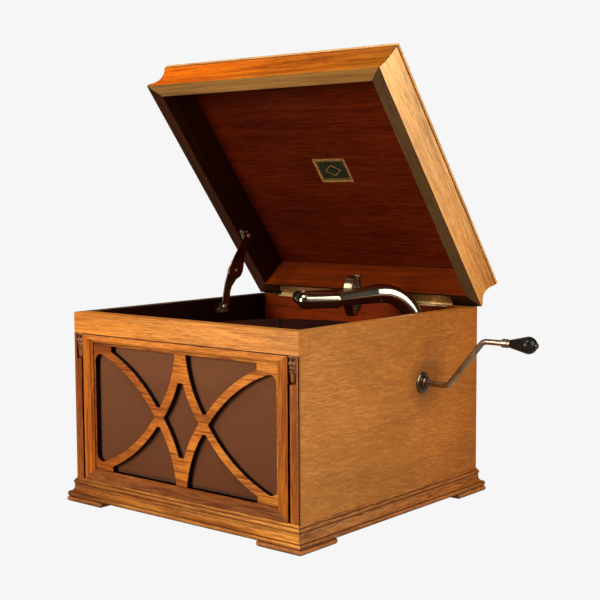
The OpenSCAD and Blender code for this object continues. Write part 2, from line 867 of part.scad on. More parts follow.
module arm_base() {
  color("#b9b4a6") translate([arm_x, arm_y, 0]) rotate_extrude()
    polygon([[arm_r + run_fit, deck_top - 6], [arm_r + 1.4, deck_top - 6], [arm_r + 1.4, deck_top],
      [30, deck_top], [30, deck_top + 2.4], [27, deck_top + 4], [20, deck_top + 4.6],
      [17.6, deck_top + 8], [17.6, deck_top + 15], [arm_r + run_fit, deck_top + 15]]);
}

module arm_outline(d) {
  tilt = 7;
  ex = arm_bend + arm_bend * sin(tilt);
  ez = bend_z + arm_bend * cos(tilt);
  len = (sleeve_a - 43 - ex) / cos(tilt);
  // Upright part, bend and tapering part
  translate([0, 0, deck_top - 4]) cylinder(h = bend_z - deck_top + 4.4, r = arm_r - d);
  bend_xz(arm_bend, bend_z, 90 - tilt, 180, arm_bend, arm_r - d);
  translate([ex, 0, ez]) rotate([0, 90 + tilt, 0]) translate([0, 0, -0.4])
    cylinder(h = len + 0.4, r1 = arm_r - d, r2 = 9.7 - d);
}

module tone_arm() {
  s0 = sleeve_a - 46;
  color("#c9c3b2") arm_frame() difference() {
    union() {
      arm_outline(0);
      // Collar that rests on the base
      translate([0, 0, deck_top + 15 + side_fit]) cylinder(h = 3.2, r = 16.4);
      // Sleeve at the front end, its bead and the round elbow
      translate([0, 0, sleeve_z]) {
        bar_x(s0, sleeve_a, sleeve_r);
        translate([s0 - 1.2, 0, 0]) rotate([0, 90, 0])
          cylinder(h = 1.2, r1 = sleeve_r - 0.4, r2 = sleeve_r);
        bar_x(sleeve_a - 1.6, sleeve_a + 0.2, sleeve_r + 0.7);
        translate([sleeve_a, 0, 0]) rotate([0, 90, 0]) sphere(r = sleeve_r - 0.1);
      }
      // Socket that carries the folding neck
      translate([sleeve_a, 0, head_z]) bar_y(-15, 0, 9);
      translate([sleeve_a, 0, head_z]) bar_y(-15, -13, 10.4);
    }
    // The bore that carries the sound
    arm_bore();
  }
}

module arm_bore() {
  translate([0, 0, deck_top - 5]) cylinder(h = bend_z - deck_top + 5.4, r = arm_r - 1.4);
  bend_xz(arm_bend, bend_z, 83, 180, arm_bend, arm_r - 1.4);
  translate([arm_bend + arm_bend * sin(7), 0, bend_z + arm_bend * cos(7)])
    rotate([0, 97, 0]) translate([0, 0, -0.4]) cylinder(h = 59.6, r1 = arm_r - 1.4, r2 = 8.6);
  translate([0, 0, sleeve_z]) bar_x(sleeve_a - 45, sleeve_a, 7.5);
  translate([sleeve_a, 0, sleeve_z]) rotate([0, 90, 0]) sphere(r = 8.2);
  translate([sleeve_a, 0, head_z]) bar_y(-16, 0, 6.6);
}

// The folding neck: elbow, leg and the turn into the sound box
module neck_solid(d) {
  leg = norm([sleeve_a - neck_a, head_y - neck_y]);
  ang = atan2(neck_y - head_y, neck_a - sleeve_a);
  translate([sleeve_a, 0, head_z]) bar_y(head_y, -15 - side_fit, 9 - d);
  translate([sleeve_a, head_y, head_z]) sphere(r = 9.2 - d);
  translate([sleeve_a, head_y, head_z]) rotate([0, 0, ang]) bar_x(0, leg, 8.6 - d);
  translate([neck_a, neck_y, head_z]) sphere(r = 8.8 - d);
  translate([neck_a, neck_y, head_z]) rotate([0, 0, box_turn]) bar_x(0, 14, 8.2 - d);
}

module gooseneck() {
  color("#c4bda9") arm_frame() difference() {
    union() {
      neck_solid(0);
      translate([sleeve_a, 0, head_z]) bar_y(-17.6, -15 - side_fit, 10.4);
    }
    neck_solid(1.3);
    translate([sleeve_a, 0, head_z]) bar_y(-17, -14, 7.2);
    translate([neck_a, neck_y, head_z]) rotate([0, 0, box_turn]) bar_x(12, 15, 6.9);
  }
}

// Sound box frame: local Z is its front, local -X is the needle's side
module box_frame() {
  arm_frame() translate([box_a, box_y, head_z]) rotate([0, 90, box_turn]) children();
}

module sound_box() {
  h = box_t;
  color("#b7b1a2") box_frame() difference() {
    union() {
      // Back plate with a domed edge, body ring and front bezel
      translate([0, 0, -h / 2]) cylinder(h = h - 2, r = box_r, $fn = 96);
      translate([0, 0, -h / 2 - 1]) cylinder(h = 1.01, r1 = box_r - 2, r2 = box_r, $fn = 96);
      translate([0, 0, h / 2 - 2]) cylinder(h = 2, r = box_r - 0.7, $fn = 96);
      // Collar around the sound inlet
      translate([0, 0, -h / 2 - 3.5]) cylinder(h = 3.6, r = 12);
      // Lug over the needle bar's pivot
      translate([-box_r + 1.5, -7, h / 2 - 3]) cube([6.5, 14, 4.4]);
      for (a = [45, 135, 225, 315]) rotate([0, 0, a]) translate([box_r - 3.2, 0, h / 2 - 0.5])
        cylinder(h = 1.3, r = 1.5);
    }
    translate([0, 0, -h / 2 + 2]) cylinder(h = h, r = box_r - 6, $fn = 96);
    translate([0, 0, -h / 2 - 5]) cylinder(h = 9, r = 8.2 + run_fit);
    // Slot for the needle bar
    translate([-box_r - 1, -2.4, h / 2 - 3.8]) cube([9, 4.8, 6]);
    for (a = [45, 135, 225, 315]) rotate([0, 0, a]) translate([box_r - 3.2, 0, h / 2])
      translate([-2, -0.25, 0.4]) cube([4, 0.5, 1]);
  }
}

module diaphragm() {
  color("#3a3733") box_frame() union() {
    // Mica disc between two rubber rings, with the bar's screw at its middle
    translate([0, 0, box_t / 2 - 4]) cylinder(h = 0.5, r = box_r - 6, $fn = 96);
    for (z = [-5.6, -3.5]) translate([0, 0, box_t / 2 + z]) difference() {
      cylinder(h = 1.6, r = box_r - 6, $fn = 96);
      translate([0, 0, -1]) cylinder(h = 4, r = box_r - 8.6, $fn = 96);
    }
    translate([0, 0, box_t / 2 - 3.6]) cylinder(h = 1.2, r = 1.9);
  }
}

module needle_bar() {
  z1 = box_t / 2;
  color("#c9c2ae") box_frame() difference() {
    union() {
      // Socket for the needle, arm to the middle, foot on the diaphragm
      translate([-box_r - needle_out, 0, z1 + 0.1]) rotate([0, 90, 0])
        cylinder(h = needle_out + 5.7, r = 2.3);
      translate([-box_r + 4.5, -1.3, z1 - 1.2]) cube([box_r - 3.5, 2.6, 1.3]);
      translate([0, 0, z1 - 2.35]) cylinder(h = 1.2, r = 1.6);
      // Pivots either side
      translate([-box_r + 5, 0, z1 + 0.1]) bar_y(-2.35, 2.35, 1.2);
    }
    translate([-box_r - 2, 0, z1 + 0.1]) bar_x(0, 8, 0.8);
    translate([-box_r + screw_in, 0, z1 + 1]) cylinder(h = 3, r = 0.9 + run_fit);
  }
}

// Thumb screw that grips the needle
module needle_screw() {
  z1 = box_t / 2;
  color("#d2ccbc") box_frame() translate([-box_r + screw_in, 0, z1 + 1.1]) {
    cylinder(h = 4, r = 0.9);
    translate([0, 0, 1.6]) cylinder(h = 1.2, r = 1.7);
    translate([0, 0, 2.4]) rotate([0, 0, 30]) intersection() {
      translate([-0.6, -2.4, 0]) cube([1.2, 4.8, 4]);
      translate([-3, 0, 1.6]) bar_x(0, 6, 2.4);
    }
  }
}

// Crank

slant = 49.5;
bend_r = 12;
tan_len = bend_r * tan(slant / 2);
knee_x = hw + 40;
top_x = knee_x + throw / tan(slant);
grip_x0 = top_x + 27;
grip_x1 = grip_x0 + 49;

module escutcheon() {
  color("#8f7c55") translate([hw, crank_y, crank_z]) rotate([0, 90, 0]) rotate_extrude()
    polygon([[rod_r + run_fit, -wall - 0.4], [rod_r + 2.4, -wall - 0.4], [rod_r + 2.4, 0],
      [14, 0], [14, 1.2], [12.6, 2.2], [9, 2.6], [8.2, 7], [7.4, 7.6], [rod_r + run_fit, 7.6]]);
}

module crank_rod() {
  color("#6e6352") translate([0, crank_y, crank_z]) {
    bar_x(barrel_x + 16, knee_x - tan_len + 0.3, rod_r);
    bend_xz(knee_x - tan_len, bend_r, -90, -90 + slant, bend_r, rod_r);
    translate([knee_x, 0, 0]) rotate([0, -slant, 0])
      bar_x(tan_len - 0.3, throw / sin(slant) - tan_len + 0.3, rod_r);
    bend_xz(top_x + tan_len, throw - bend_r, 90, 90 + slant, bend_r, rod_r);
    translate([0, 0, throw]) bar_x(top_x + tan_len - 0.3, grip_x0, rod_r);
    // Thin end that carries the grip, and the riveted washer
    translate([0, 0, throw]) bar_x(grip_x0 - 2, grip_x1 + 0.6, 2.4);
    translate([grip_x1 + side_fit, 0, throw]) bar_x(0, 0.9, 3.6);
    // Shoulder against the plate, and the pinion inside
    bar_x(hw + 7.9, hw + 11.5, rod_r + 2.2);
    translate([barrel_x + 17, 0, 0]) rotate([0, 90, 0]) gear(12, 1.5, 9, 15);
  }
}

module crank_ferrule() {
  color("#8f8878") translate([grip_x0, crank_y, crank_z + throw]) rotate([0, 90, 0])
    rotate_extrude() polygon([[2.4 + run_fit, side_fit], [4.6, side_fit], [5.6, 1.4], [5.6, 9],
      [5.0, 10], [5.0, 13], [2.4 + run_fit, 13]]);
}

module crank_grip() {
  c = grip_x1 - grip_x0 - grip_r;
  color("#1d1a18") translate([grip_x0, crank_y, crank_z + throw]) rotate([0, 90, 0])
    difference() {
      union() {
        translate([0, 0, 13]) cylinder(h = c - 13 - 3.4, r1 = 5.4, r2 = grip_r * 0.951);
        translate([0, 0, c]) sphere(r = grip_r);
      }
      translate([0, 0, 10]) cylinder(h = 60, r = 2.4 + run_fit);
      translate([0, 0, grip_x1 - grip_x0]) cylinder(h = 10, r = 20);
    }
}

// Spring motor under the board

module motor_frame() {
  x0 = -62;
  x1 = 68;
  y0 = -62;
  y1 = 112;
  color("#77756f") difference() {
    union() {
      translate([x0, y0, motor_top - plate_t]) cube([x1 - x0, y1 - y0, plate_t]);
      translate([x0, y0, motor_bot]) cube([x1 - x0, y1 - y0, plate_t]);
      for (x = [x0 + 8, x1 - 8]) for (y = [y0 + 8, y1 - 8]) {
        translate([x, y, motor_bot + 0.5]) cylinder(h = motor_top - motor_bot - 1, r = 4);
        translate([x, y, motor_top - 0.1]) cylinder(h = 8.1, r = 5.5);
      }
      // Bearing plate for the winding shaft
      translate([x1 - 8, crank_y - 11, motor_bot + 1])
        cube([4, 22, motor_top - motor_bot - 2]);
      // Bearings of the governor
      for (x = [-56, 50]) translate([x, worm_y - 5, motor_bot + 1]) cube([4, 10, 22]);
    }
    translate([0, 0, motor_bot - 1]) cylinder(h = 90, r = 3.6 + run_fit);
    translate([barrel_x, barrel_y, motor_bot - 1]) cylinder(h = 90, r = 4 + run_fit);
    translate([second_x, second_y, motor_bot - 1]) cylinder(h = 90, r = 2.5 + run_fit);
    translate([0, crank_y, crank_z]) bar_x(x1 - 12, x1 + 2, rod_r + run_fit);
    translate([0, worm_y, worm_z]) bar_x(-60, 60, 1.8 + run_fit);
  }
}

// Arbor of the mainspring with the crown wheel and the ratchet
module winding_gear() {
  crown_z = crank_z - 9 - 3.4;
  color("#9b8a5a") translate([barrel_x, barrel_y, 0]) {
    translate([0, 0, motor_bot + 0.4]) cylinder(h = motor_top - motor_bot - 0.8, r = 4);
    difference() {
      translate([0, 0, crown_z - 4]) cylinder(h = 4, r = 30);
      for (a = [0 : 60 : 300]) rotate([0, 0, a]) translate([17, 0, crown_z - 6])
        cylinder(h = 8, r = 4.5);
    }
    for (i = [0 : 39]) rotate([0, 0, i * 9]) translate([22, -0.9, crown_z - 0.1])
      cube([8, 1.8, 1.8]);
    translate([0, 0, crown_z - 9]) gear(18, 1, 3, 0);
  }
}

module spring_barrel() {
  z0 = motor_bot + 6;
  color("#8c8a84") translate([barrel_x, barrel_y, 0]) difference() {
    union() {
      translate([0, 0, z0]) cylinder(h = 22, r = 39.5, $fn = 96);
      translate([0, 0, z0 + 17]) gear(88, 1, 5, 0);
    }
    translate([0, 0, z0 + 1.6]) cylinder(h = 18.8, r = 37.8, $fn = 96);
    translate([0, 0, z0 - 1]) cylinder(h = 30, r = 4 + run_fit);
  }
}

module second_wheel() {
  z0 = motor_bot + 6;
  color("#b3924f") translate([second_x, second_y, 0]) {
    translate([0, 0, motor_bot + 0.4]) cylinder(h = motor_top - motor_bot - 0.8, r = 2.5);
    translate([0, 0, z0 + 15]) gear(12, 1, 9, mesh_turn(barrel_dir, 88, 0, 12));
    difference() {
      translate([0, 0, motor_bot + 29.5]) gear(56, 1, 3.5, 0);
      for (a = [0 : 72 : 288]) rotate([0, 0, a]) translate([15.5, 0, motor_bot + 28])
        cylinder(h = 6, r = 6);
    }
  }
}

// Governor: worm, two collars, three weights on springs and the brake disc
module governor() {
  color("#a89a6c") translate([0, worm_y, worm_z]) {
    bar_x(-54, 52, 1.8);
    bar_x(-9, 9, 2.3);
    for (i = [-3 : 3]) bar_x(i * 2.51 - 0.5, i * 2.51 + 0.5, 2.9);
    bar_x(44, 47, 4);
    bar_x(-16, -12, 4.6);
    bar_x(-50, -48, 12);
    bar_x(-48.5, -43, 4.6);
    for (a = [0, 120, 240]) rotate([a, 0, 0]) {
      translate([-44.5, -2.4, 3.8]) cube([30, 4.8, 0.6]);
      translate([-35, -3, 4.1]) cube([10, 6, 5]);
    }
  }
}

// Sound way below the arm, down and forward into the horn
module throat_solid(d) {
  big = 28;
  z0 = throat_z + big;
  more = d > 0 ? 1 : 0;
  translate([arm_x, arm_y, z0 - 0.3]) cylinder(h = deck_under - z0 + 0.3 + more, r = throat_r - d);
  translate([arm_x, 0, 0]) rotate([0, 0, 90]) translate([arm_y, 0, 0])
    bend_xz(-big, z0, -90, 0, big, throat_r - d);
  translate([arm_x, 0, throat_z]) bar_y(horn_y1 - 8 - more, arm_y - big + 0.3, throat_r - d);
}

module horn_throat() {
  color("#5d5a55") difference() {
    union() {
      throat_solid(0);
      translate([arm_x, arm_y, deck_under - 4]) cylinder(h = 4, r = 28);
    }
    throat_solid(2.6);
  }
}

// Wooden horn: two flared sides, a back and a roof in two slopes, standing on the bottom board
horn_y0 = front + back_set + 3.4;
horn_y1 = 90;
horn_low = body_z + 8;
horn_roof = motor_bot - 6;
horn_top = deck_under - 6;
throat_z = (horn_low + horn_roof) / 2;
throat_r = arm_r + 4.4;

module horn_roof_area(d) {
  polygon([[horn_y0 - 1, horn_low - 1], [horn_y1 + 1, horn_low - 1], [horn_y1 + 1, horn_roof - d],
    [-70, horn_roof - d], [horn_y0 - 1, horn_top - d]]);
}

module horn_plan(d) {
  wide = frame_in - 7;
  half = throat_r + 14.4;
  polygon([[-wide + 1.4 * d, horn_y0 - 1], [wide - d, horn_y0 - 1],
    [arm_x + half - d, horn_y1], [arm_x - half + 1.4 * d, horn_y1]]);
}

module horn() {
  t = 6;
  color("#7d4f2a") difference() {
    intersection() {
      translate([0, 0, horn_low]) linear_extrude(horn_top - horn_low + 5) difference() {
        horn_plan(0);
        translate([-300, horn_y0 - 20]) square([600, 20]);
      }
      along_x(500) horn_roof_area(0);
    }
    intersection() {
      translate([0, 0, horn_low - 1]) linear_extrude(horn_top - horn_low + 10) intersection() {
        horn_plan(t);
        translate([-300, horn_y0 - 20]) square([600, horn_y1 - horn_y0 + 20 - t]);
      }
      along_x(500) horn_roof_area(t);
    }
    translate([arm_x, 0, throat_z]) bar_y(horn_y1 - 20, horn_y1 + 10, throat_r);
  }
}

// Controls on the motor board

module brake_lever() {
  bx = brake_x;
  by = brake_y;
  r = norm([bx, by]);
  color("#a39a86") translate([bx, by, deck_top]) {
    difference() {
      union() {
        cylinder(h = 8, r = 4.5);
        translate([0, 0, 8]) linear_extrude(2) rotate(atan2(by, bx)) union() {
          circle(r = 6.5);
          translate([-3.6, -26]) square([7.2, 52]);
          translate([0, -26]) circle(r = 5.5);
        }
      }
      translate([0, 0, -1]) cylinder(h = 20, r = 2 + run_fit);
    }
    // Shoe that meets the turntable's rim
    translate([0, 0, 3]) rotate([0, 0, atan2(by, bx)])
      translate([sqrt(pow(platter_r + side_fit, 2) - 18 * 18) - r, 18, 6])
        cube([r - platter_r, 6, 8]);
  }
}

module speed_knob() {
  color("#a39a86") translate([-140, -140, 0]) {
    translate([0, 0, deck_under - 8]) cylinder(h = deck_t + 9, r = 3.5);
    translate([0, 0, deck_top + side_fit]) cylinder(h = 3, r = 13);
    translate([0, 0, deck_top + side_fit + 2.9]) cylinder(h = 6, r1 = 8, r2 = 7);
    translate([0, -0.8, deck_top + side_fit + 2.9]) cube([12, 1.6, 1.2]);
    // Arm of the regulator below the board
    translate([-4, -4, deck_under - 8]) cube([34, 8, 3]);
  }
}

// What is drawn
side_left();
side_right();
back_board();
bottom_board();
top_rail();
post_left();
post_right();
drop_carvings();
plinth_front();
plinth_back();
plinth_left();
plinth_right();
foot_front_left();
foot_front_right();
foot_back_left();
foot_back_right();
frame_top_rail();
frame_bottom_rail();
frame_left();
frame_right();
fret_panel();
grille_cloth();
motor_board();
lid_front();
lid_back();
lid_left();
lid_right();
lid_top();
lid_panel();
hinge_case_leaves();
hinge_lid_leaves();
case_screws();
lid_screws();
stay_case_bracket();
stay_lower_link();
stay_upper_link();
stay_lid_bracket();
platter();
felt_mat();
spindle();
arm_base();
tone_arm();
gooseneck();
sound_box();
diaphragm();
needle_bar();
needle_screw();
escutcheon();
crank_rod();
crank_ferrule();
crank_grip();
motor_frame();
winding_gear();
spring_barrel();
second_wheel();
governor();
horn_throat();
horn();
brake_lever();
speed_knob();
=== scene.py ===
# %% [markdown]
# This lesson dresses a table gramophone in oak, with its lid open. The CAD frame brings every solid
# at its real size; Blender gives each one its finish and makes the soft and decorative pieces.
# Everything is in metres. The front looks along -Y, the crank is on the +X side, +Z is up.

# %% Load the frame
import math
import bmesh
import bpy
from mathutils import Matrix, Vector


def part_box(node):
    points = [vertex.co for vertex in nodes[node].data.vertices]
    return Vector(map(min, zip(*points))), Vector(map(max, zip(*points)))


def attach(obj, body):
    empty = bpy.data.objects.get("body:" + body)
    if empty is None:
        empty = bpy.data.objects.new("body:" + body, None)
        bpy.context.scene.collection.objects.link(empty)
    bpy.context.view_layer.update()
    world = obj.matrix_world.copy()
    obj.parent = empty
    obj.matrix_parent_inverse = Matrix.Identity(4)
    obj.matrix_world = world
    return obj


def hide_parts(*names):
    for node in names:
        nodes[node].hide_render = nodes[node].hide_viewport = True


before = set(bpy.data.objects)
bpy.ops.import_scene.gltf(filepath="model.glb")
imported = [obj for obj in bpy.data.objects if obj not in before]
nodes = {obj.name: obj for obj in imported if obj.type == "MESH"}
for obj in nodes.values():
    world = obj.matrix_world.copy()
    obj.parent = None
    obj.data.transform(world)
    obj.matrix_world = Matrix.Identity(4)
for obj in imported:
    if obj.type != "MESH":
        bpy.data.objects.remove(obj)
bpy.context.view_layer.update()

# %% [markdown]
# Many finishes change at a face of a board, as where the polished outside meets the stained inside.
# Typed again here, those places would go wrong if the case changed, so they are read from the solids.
# The case's own faces come first, and others are read where they are needed.

# %% Places
LOW, HIGH = 0, 1


def reach(name, axis, end):
    """The lowest or highest place of a solid on one axis, to a tenth of a millimetre."""
    return round(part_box(name)[end]["xyz".index(axis)], 4)


CASE_HALF = reach("side_right", "x", HIGH)
CASE_FRONT = reach("side_right", "y", LOW)
CASE_BACK = reach("side_right", "y", HIGH)
RIM = reach("side_right", "z", HIGH)
print("case half", CASE_HALF, "front", CASE_FRONT, "back", CASE_BACK, "rim", RIM)

# %% [markdown]
# The photograph was taken with a long lens from a little above the deck, about 40 degrees round to
# the right of the front. A camera could be turned by eye until it fits, but straight edges say more:
# its place, turn and lens were worked out from the vanishing directions of the case.

# %% Camera
PICTURE_PIXELS = 600.0
FOCAL_PIXELS = 1228.6
SENSOR_MM = 36.0
AZIMUTH = math.radians(39.784)
ELEVATION = math.radians(5.146)
ROLL = math.radians(-0.277)
CAMERA_PLACE = Vector((1.1076, -1.2829, 0.4281))

back = Vector((math.sin(AZIMUTH) * math.cos(ELEVATION),
               -math.cos(AZIMUTH) * math.cos(ELEVATION), math.sin(ELEVATION)))
level = Vector((math.cos(AZIMUTH), math.sin(AZIMUTH), 0))
upright = back.cross(level)
right = math.cos(ROLL) * level + math.sin(ROLL) * upright
up = math.cos(ROLL) * upright - math.sin(ROLL) * level
camera_data = bpy.data.cameras.new("camera")
camera_data.sensor_width = SENSOR_MM
camera_data.lens = FOCAL_PIXELS * SENSOR_MM / PICTURE_PIXELS
camera = bpy.data.objects.new("camera", camera_data)
bpy.context.scene.collection.objects.link(camera)
turn = Matrix((right, up, back)).transposed()
camera.matrix_world = Matrix.Translation(CAMERA_PLACE) @ turn.to_4x4()
bpy.context.scene.camera = camera
bpy.context.scene.view_settings.view_transform = "Standard"
print("camera: lens", round(camera_data.lens, 2), "mm")

# %% [markdown]
# Every finish is a tree of nodes. Written out node by node, a tree hides what it draws, so a few
# helpers add a node, wire it and hand back its socket.

# %% Node helpers
def new_tree(name):
    """A fresh material with its node tree and its main shader."""
    mat = bpy.data.materials.new(name)
    mat.use_nodes = True
    tree = mat.node_tree
    return mat, tree, tree.nodes["Principled BSDF"]


def node(tree, kind, **values):
    """Adds a node; values are its properties or the defaults of its sockets."""
    made = tree.nodes.new("ShaderNode" + kind)
    for key, value in values.items():
        if hasattr(made, key):
            setattr(made, key, value)
        else:
            made.inputs[key.replace("_", " ")].default_value = value
    return made


def wire(tree, out, into):
    tree.links.new(out, into)


def put(tree, value, socket):
    """Feeds a socket from another socket, or sets it to a number or a colour."""
    if isinstance(value, bpy.types.NodeSocket):
        wire(tree, value, socket)
    elif isinstance(value, tuple) and len(value) == 3 and socket.type == "RGBA":
        socket.default_value = (*value, 1)
    else:
        socket.default_value = value


def set_sockets(shader, **values):
    """Sets shader sockets to constants; an underscore stands for a space."""
    for socket, value in values.items():
        shader.inputs[socket.replace("_", " ")].default_value = value


print("helpers for nodes ready")

# %% [markdown]
# Patterns are added and multiplied as numbers, then a ramp turns them into colours, and colours are
# laid over each other as stains are.

# %% Sums and colours
def maths(tree, kind, a, b):
    """One sum of two sockets or numbers."""
    made = node(tree, "Math", operation=kind)
    put(tree, a, made.inputs[0])
    put(tree, b, made.inputs[1])
    return made.outputs[0]


def total(tree, parts):
    """A weighted sum of sockets."""
    done = None
    for weight, socket in parts:
        term = maths(tree, "MULTIPLY", socket, weight)
        done = term if done is None else maths(tree, "ADD", done, term)
    return done


def ramp(tree, fac, stops):
    """A colour ramp from a list of places, each with a colour or a grey."""
    made = tree.nodes.new("ShaderNodeValToRGB")
    elements = made.color_ramp.elements
    while len(elements) < len(stops):
        elements.new(0.5)
    for element, (place, colour) in zip(elements, stops):
        element.position = place
        if isinstance(colour, (int, float)):
            colour = (colour, colour, colour)
        element.color = (*colour, 1)
    wire(tree, fac, made.inputs["Fac"])
    return made.outputs["Color"]


def blend_colour(tree, kind, fac, a, b):
    """Mixes two colours; fac, a and b are sockets or values."""
    made = node(tree, "Mix", data_type="RGBA", blend_type=kind)
    put(tree, fac, made.inputs[0])
    put(tree, a, made.inputs[6])
    put(tree, b, made.inputs[7])
    return made.outputs[2]


def tinted(tree, colour, factor):
    """A colour times another, as a stain or a shadow does."""
    return blend_colour(tree, "MULTIPLY", 1.0, colour, factor)


def veiled(tree, colour, mask, strength, over):
    """A colour with another laid over it where the mask is 1."""
    return blend_colour(tree, "MIX", maths(tree, "MULTIPLY", mask, strength), colour, over)


print("helpers for colours ready")

# %% [markdown]
# A finish has to stay on its board when the board moves, so its pattern is read in object
# coordinates, in metres, and keeps the real scale. The lid's boards stand open in the frame: a
# Mapping node folds them down first, so that their patterns run square to the shut lid.

# %% Pattern helpers
LID_OPEN = math.radians(52.2)
HINGE = Vector((0.0, CASE_BACK + 0.0005, RIM))


def board_coords(tree, lid=False):
    """Object coordinates, or those of the shut lid."""
    coords = tree.nodes.get("coords") or node(tree, "TexCoord", name="coords")
    if not lid:
        return coords.outputs["Object"]
    fold = tree.nodes.get("lid_coords")
    if fold is None:
        place = HINGE - Matrix.Rotation(LID_OPEN, 3, "X") @ HINGE
        fold = node(tree, "Mapping", name="lid_coords", Rotation=(LID_OPEN, 0, 0), Location=place)
        wire(tree, coords.outputs["Object"], fold.inputs["Vector"])
    return fold.outputs["Vector"]


def placed(tree, scale, turn=(0, 0, 0), shift=(0, 0, 0), lid=False):
    """Board coordinates, turned to the grain, then stretched."""
    turned = node(tree, "Mapping", Rotation=turn, Location=shift)
    stretched = node(tree, "Mapping", Scale=scale)
    wire(tree, board_coords(tree, lid), turned.inputs["Vector"])
    wire(tree, turned.outputs["Vector"], stretched.inputs["Vector"])
    return stretched.outputs["Vector"]


def noise(tree, vector, detail=4.0, rough=0.55, distort=0.0):
    """Cloudy noise that repeats about once in each unit of the vector."""
    made = node(tree, "TexNoise", Scale=1.0, Detail=detail, Roughness=rough, Distortion=distort)
    wire(tree, vector, made.inputs["Vector"])
    return made.outputs["Fac"]


print("helpers for patterns ready")

# %% [markdown]
# A finish also needs to know where it is: beyond a face, or in a quirk. Leather, mica and gilding
# need less than wood does, one cloudy noise between two tones.

# %% Masks, relief and plain finishes
def axis_of(tree, axis, lid=False):
    """One coordinate of the board."""
    split = node(tree, "SeparateXYZ")
    wire(tree, board_coords(tree, lid), split.inputs["Vector"])
    return split.outputs[axis.upper()]


def beyond(tree, axis, limit, lid=False):
    """1 where the coordinate is beyond the limit: '+x' above it, '-x' below it, '|x' its size above."""
    value = axis_of(tree, axis[1], lid)
    if axis[0] == "|":
        value = maths(tree, "ABSOLUTE", value, 0.0)
    return maths(tree, "LESS_THAN" if axis[0] == "-" else "GREATER_THAN", value, limit)


def bump(tree, height, strength, distance):
    """A relief that only the light sees."""
    made = node(tree, "Bump", Strength=strength, Distance=distance)
    wire(tree, height, made.inputs["Height"])
    return made.outputs["Normal"]


def crevice_dust_and_shade(tree, reach_in):
    """1 on open faces, falling to 0 in quirks and joints: the dust that gathers there, and painted shade."""
    return node(tree, "AmbientOcclusion", samples=8, Distance=reach_in).outputs["AO"]


def cloudy(name, repeats, settings, stops, relief=None, **sockets):
    """A finish whose colour is one noise between two tones, with its relief if it has one."""
    mat, tree, shader = new_tree(name)
    cloud = noise(tree, placed(tree, (repeats, repeats, repeats)), *settings)
    wire(tree, ramp(tree, cloud, stops), shader.inputs["Base Color"])
    if relief:
        wire(tree, bump(tree, cloud, *relief), shader.inputs["Normal"])
    set_sockets(shader, **sockets)
    return mat


print("helpers for masks ready")

# %% [markdown]
# The background of the picture is one even near-white. A real white room would light the sides as
# brightly as the front and fill the nickel with white, so the camera alone sees the white, and
# everything else meets a dark room over a pale table.

# %% Surrounding
WHITE = (0.9216, 0.9216, 0.9216)
TABLE_LIGHT = (0.48, 0.44, 0.38)
ROOM_LIGHT = (0.085, 0.080, 0.072)
MIRRORED_ROOM = (0.42, 0.40, 0.38)
TABLE_EDGE, ROOM_EDGE = 0.44, 0.54


def two_faced(tree, kind, path, thrown, out):
    """White for the camera, and another colour thrown on everything else."""
    choose = node(tree, "MixShader")
    wire(tree, path.outputs["Is Camera Ray"], choose.inputs["Fac"])
    for slot, colour in ((1, thrown), (2, WHITE)):
        glow = node(tree, kind)
        put(tree, colour, glow.inputs["Color"])
        wire(tree, glow.outputs[0], choose.inputs[slot])
    wire(tree, choose.outputs["Shader"], out.inputs["Surface"])


def surrounding():
    """A pale table below, a dark room above, darker still where metal mirrors it."""
    world = bpy.context.scene.world or bpy.data.worlds.new("studio")
    bpy.context.scene.world = world
    world.use_nodes = True
    tree = world.node_tree
    tree.nodes.clear()
    path = node(tree, "LightPath")
    split = node(tree, "SeparateXYZ")
    wire(tree, node(tree, "TexCoord").outputs["Generated"], split.inputs["Vector"])
    height = maths(tree, "ADD", maths(tree, "MULTIPLY", split.outputs["Z"], 0.5), 0.5)
    room = ramp(tree, height, [(TABLE_EDGE, TABLE_LIGHT), (ROOM_EDGE, ROOM_LIGHT)])
    room = blend_colour(tree, "MULTIPLY", path.outputs["Is Glossy Ray"], room, MIRRORED_ROOM)
    two_faced(tree, "Background", path, room, node(tree, "OutputWorld"))


surrounding()
print("surrounding ready")

# %% [markdown]
# The gramophone stands on a round pale floor, which is white to the camera too, so that no edge
# shows. It belongs to the studio, not to the object.

# %% Floor
FLOOR_RADIUS, FLOOR_DROP = 3.0, 0.0005


def add_object(name, bm, material, smooth=False):
    """Turns a bmesh into a piece at the origin, with its place in its mesh."""
    mesh = bpy.data.meshes.new(name)
    bm.to_mesh(mesh)
    bm.free()
    if smooth:
        mesh.shade_smooth()
    mesh.materials.append(material)
    piece = bpy.data.objects.new(name, mesh)
    bpy.context.scene.collection.objects.link(piece)
    return piece


bm = bmesh.new()
bmesh.ops.create_circle(bm, cap_ends=True, segments=64, radius=FLOOR_RADIUS)
bmesh.ops.translate(bm, vec=(0, 0, -FLOOR_DROP), verts=bm.verts)
mat, tree, shader = new_tree("pale_floor")
tree.nodes.clear()
two_faced(tree, "Emission", node(tree, "LightPath"), TABLE_LIGHT, node(tree, "OutputMaterial"))
floor = add_object("floor", bm, mat)
print("floor radius", FLOOR_RADIUS)

# %% [markdown]
# The bright bars on the arm mirror the lamps, so the lamps are rectangular soft boxes, whose edges
# decide where a bar ends. One lights the grille from the left, a tall one stands off the crank's
# side, and a weak one hangs over the front and fills the deck.

# %% Soft boxes
WARM = (1.0, 0.94, 0.84)


def soft_box(name, place, aim, size, watts):
    """A rectangular lamp that looks at a point."""
    data = bpy.data.lights.new(name, "AREA")
    data.shape = "RECTANGLE"
    data.size, data.size_y = size
    data.energy = watts
    data.color = WARM
    lamp = bpy.data.objects.new(name, data)
    lamp.location = place
    lamp.rotation_euler = (Vector(aim) - Vector(place)).to_track_quat("-Z", "Y").to_euler()
    bpy.context.scene.collection.objects.link(lamp)


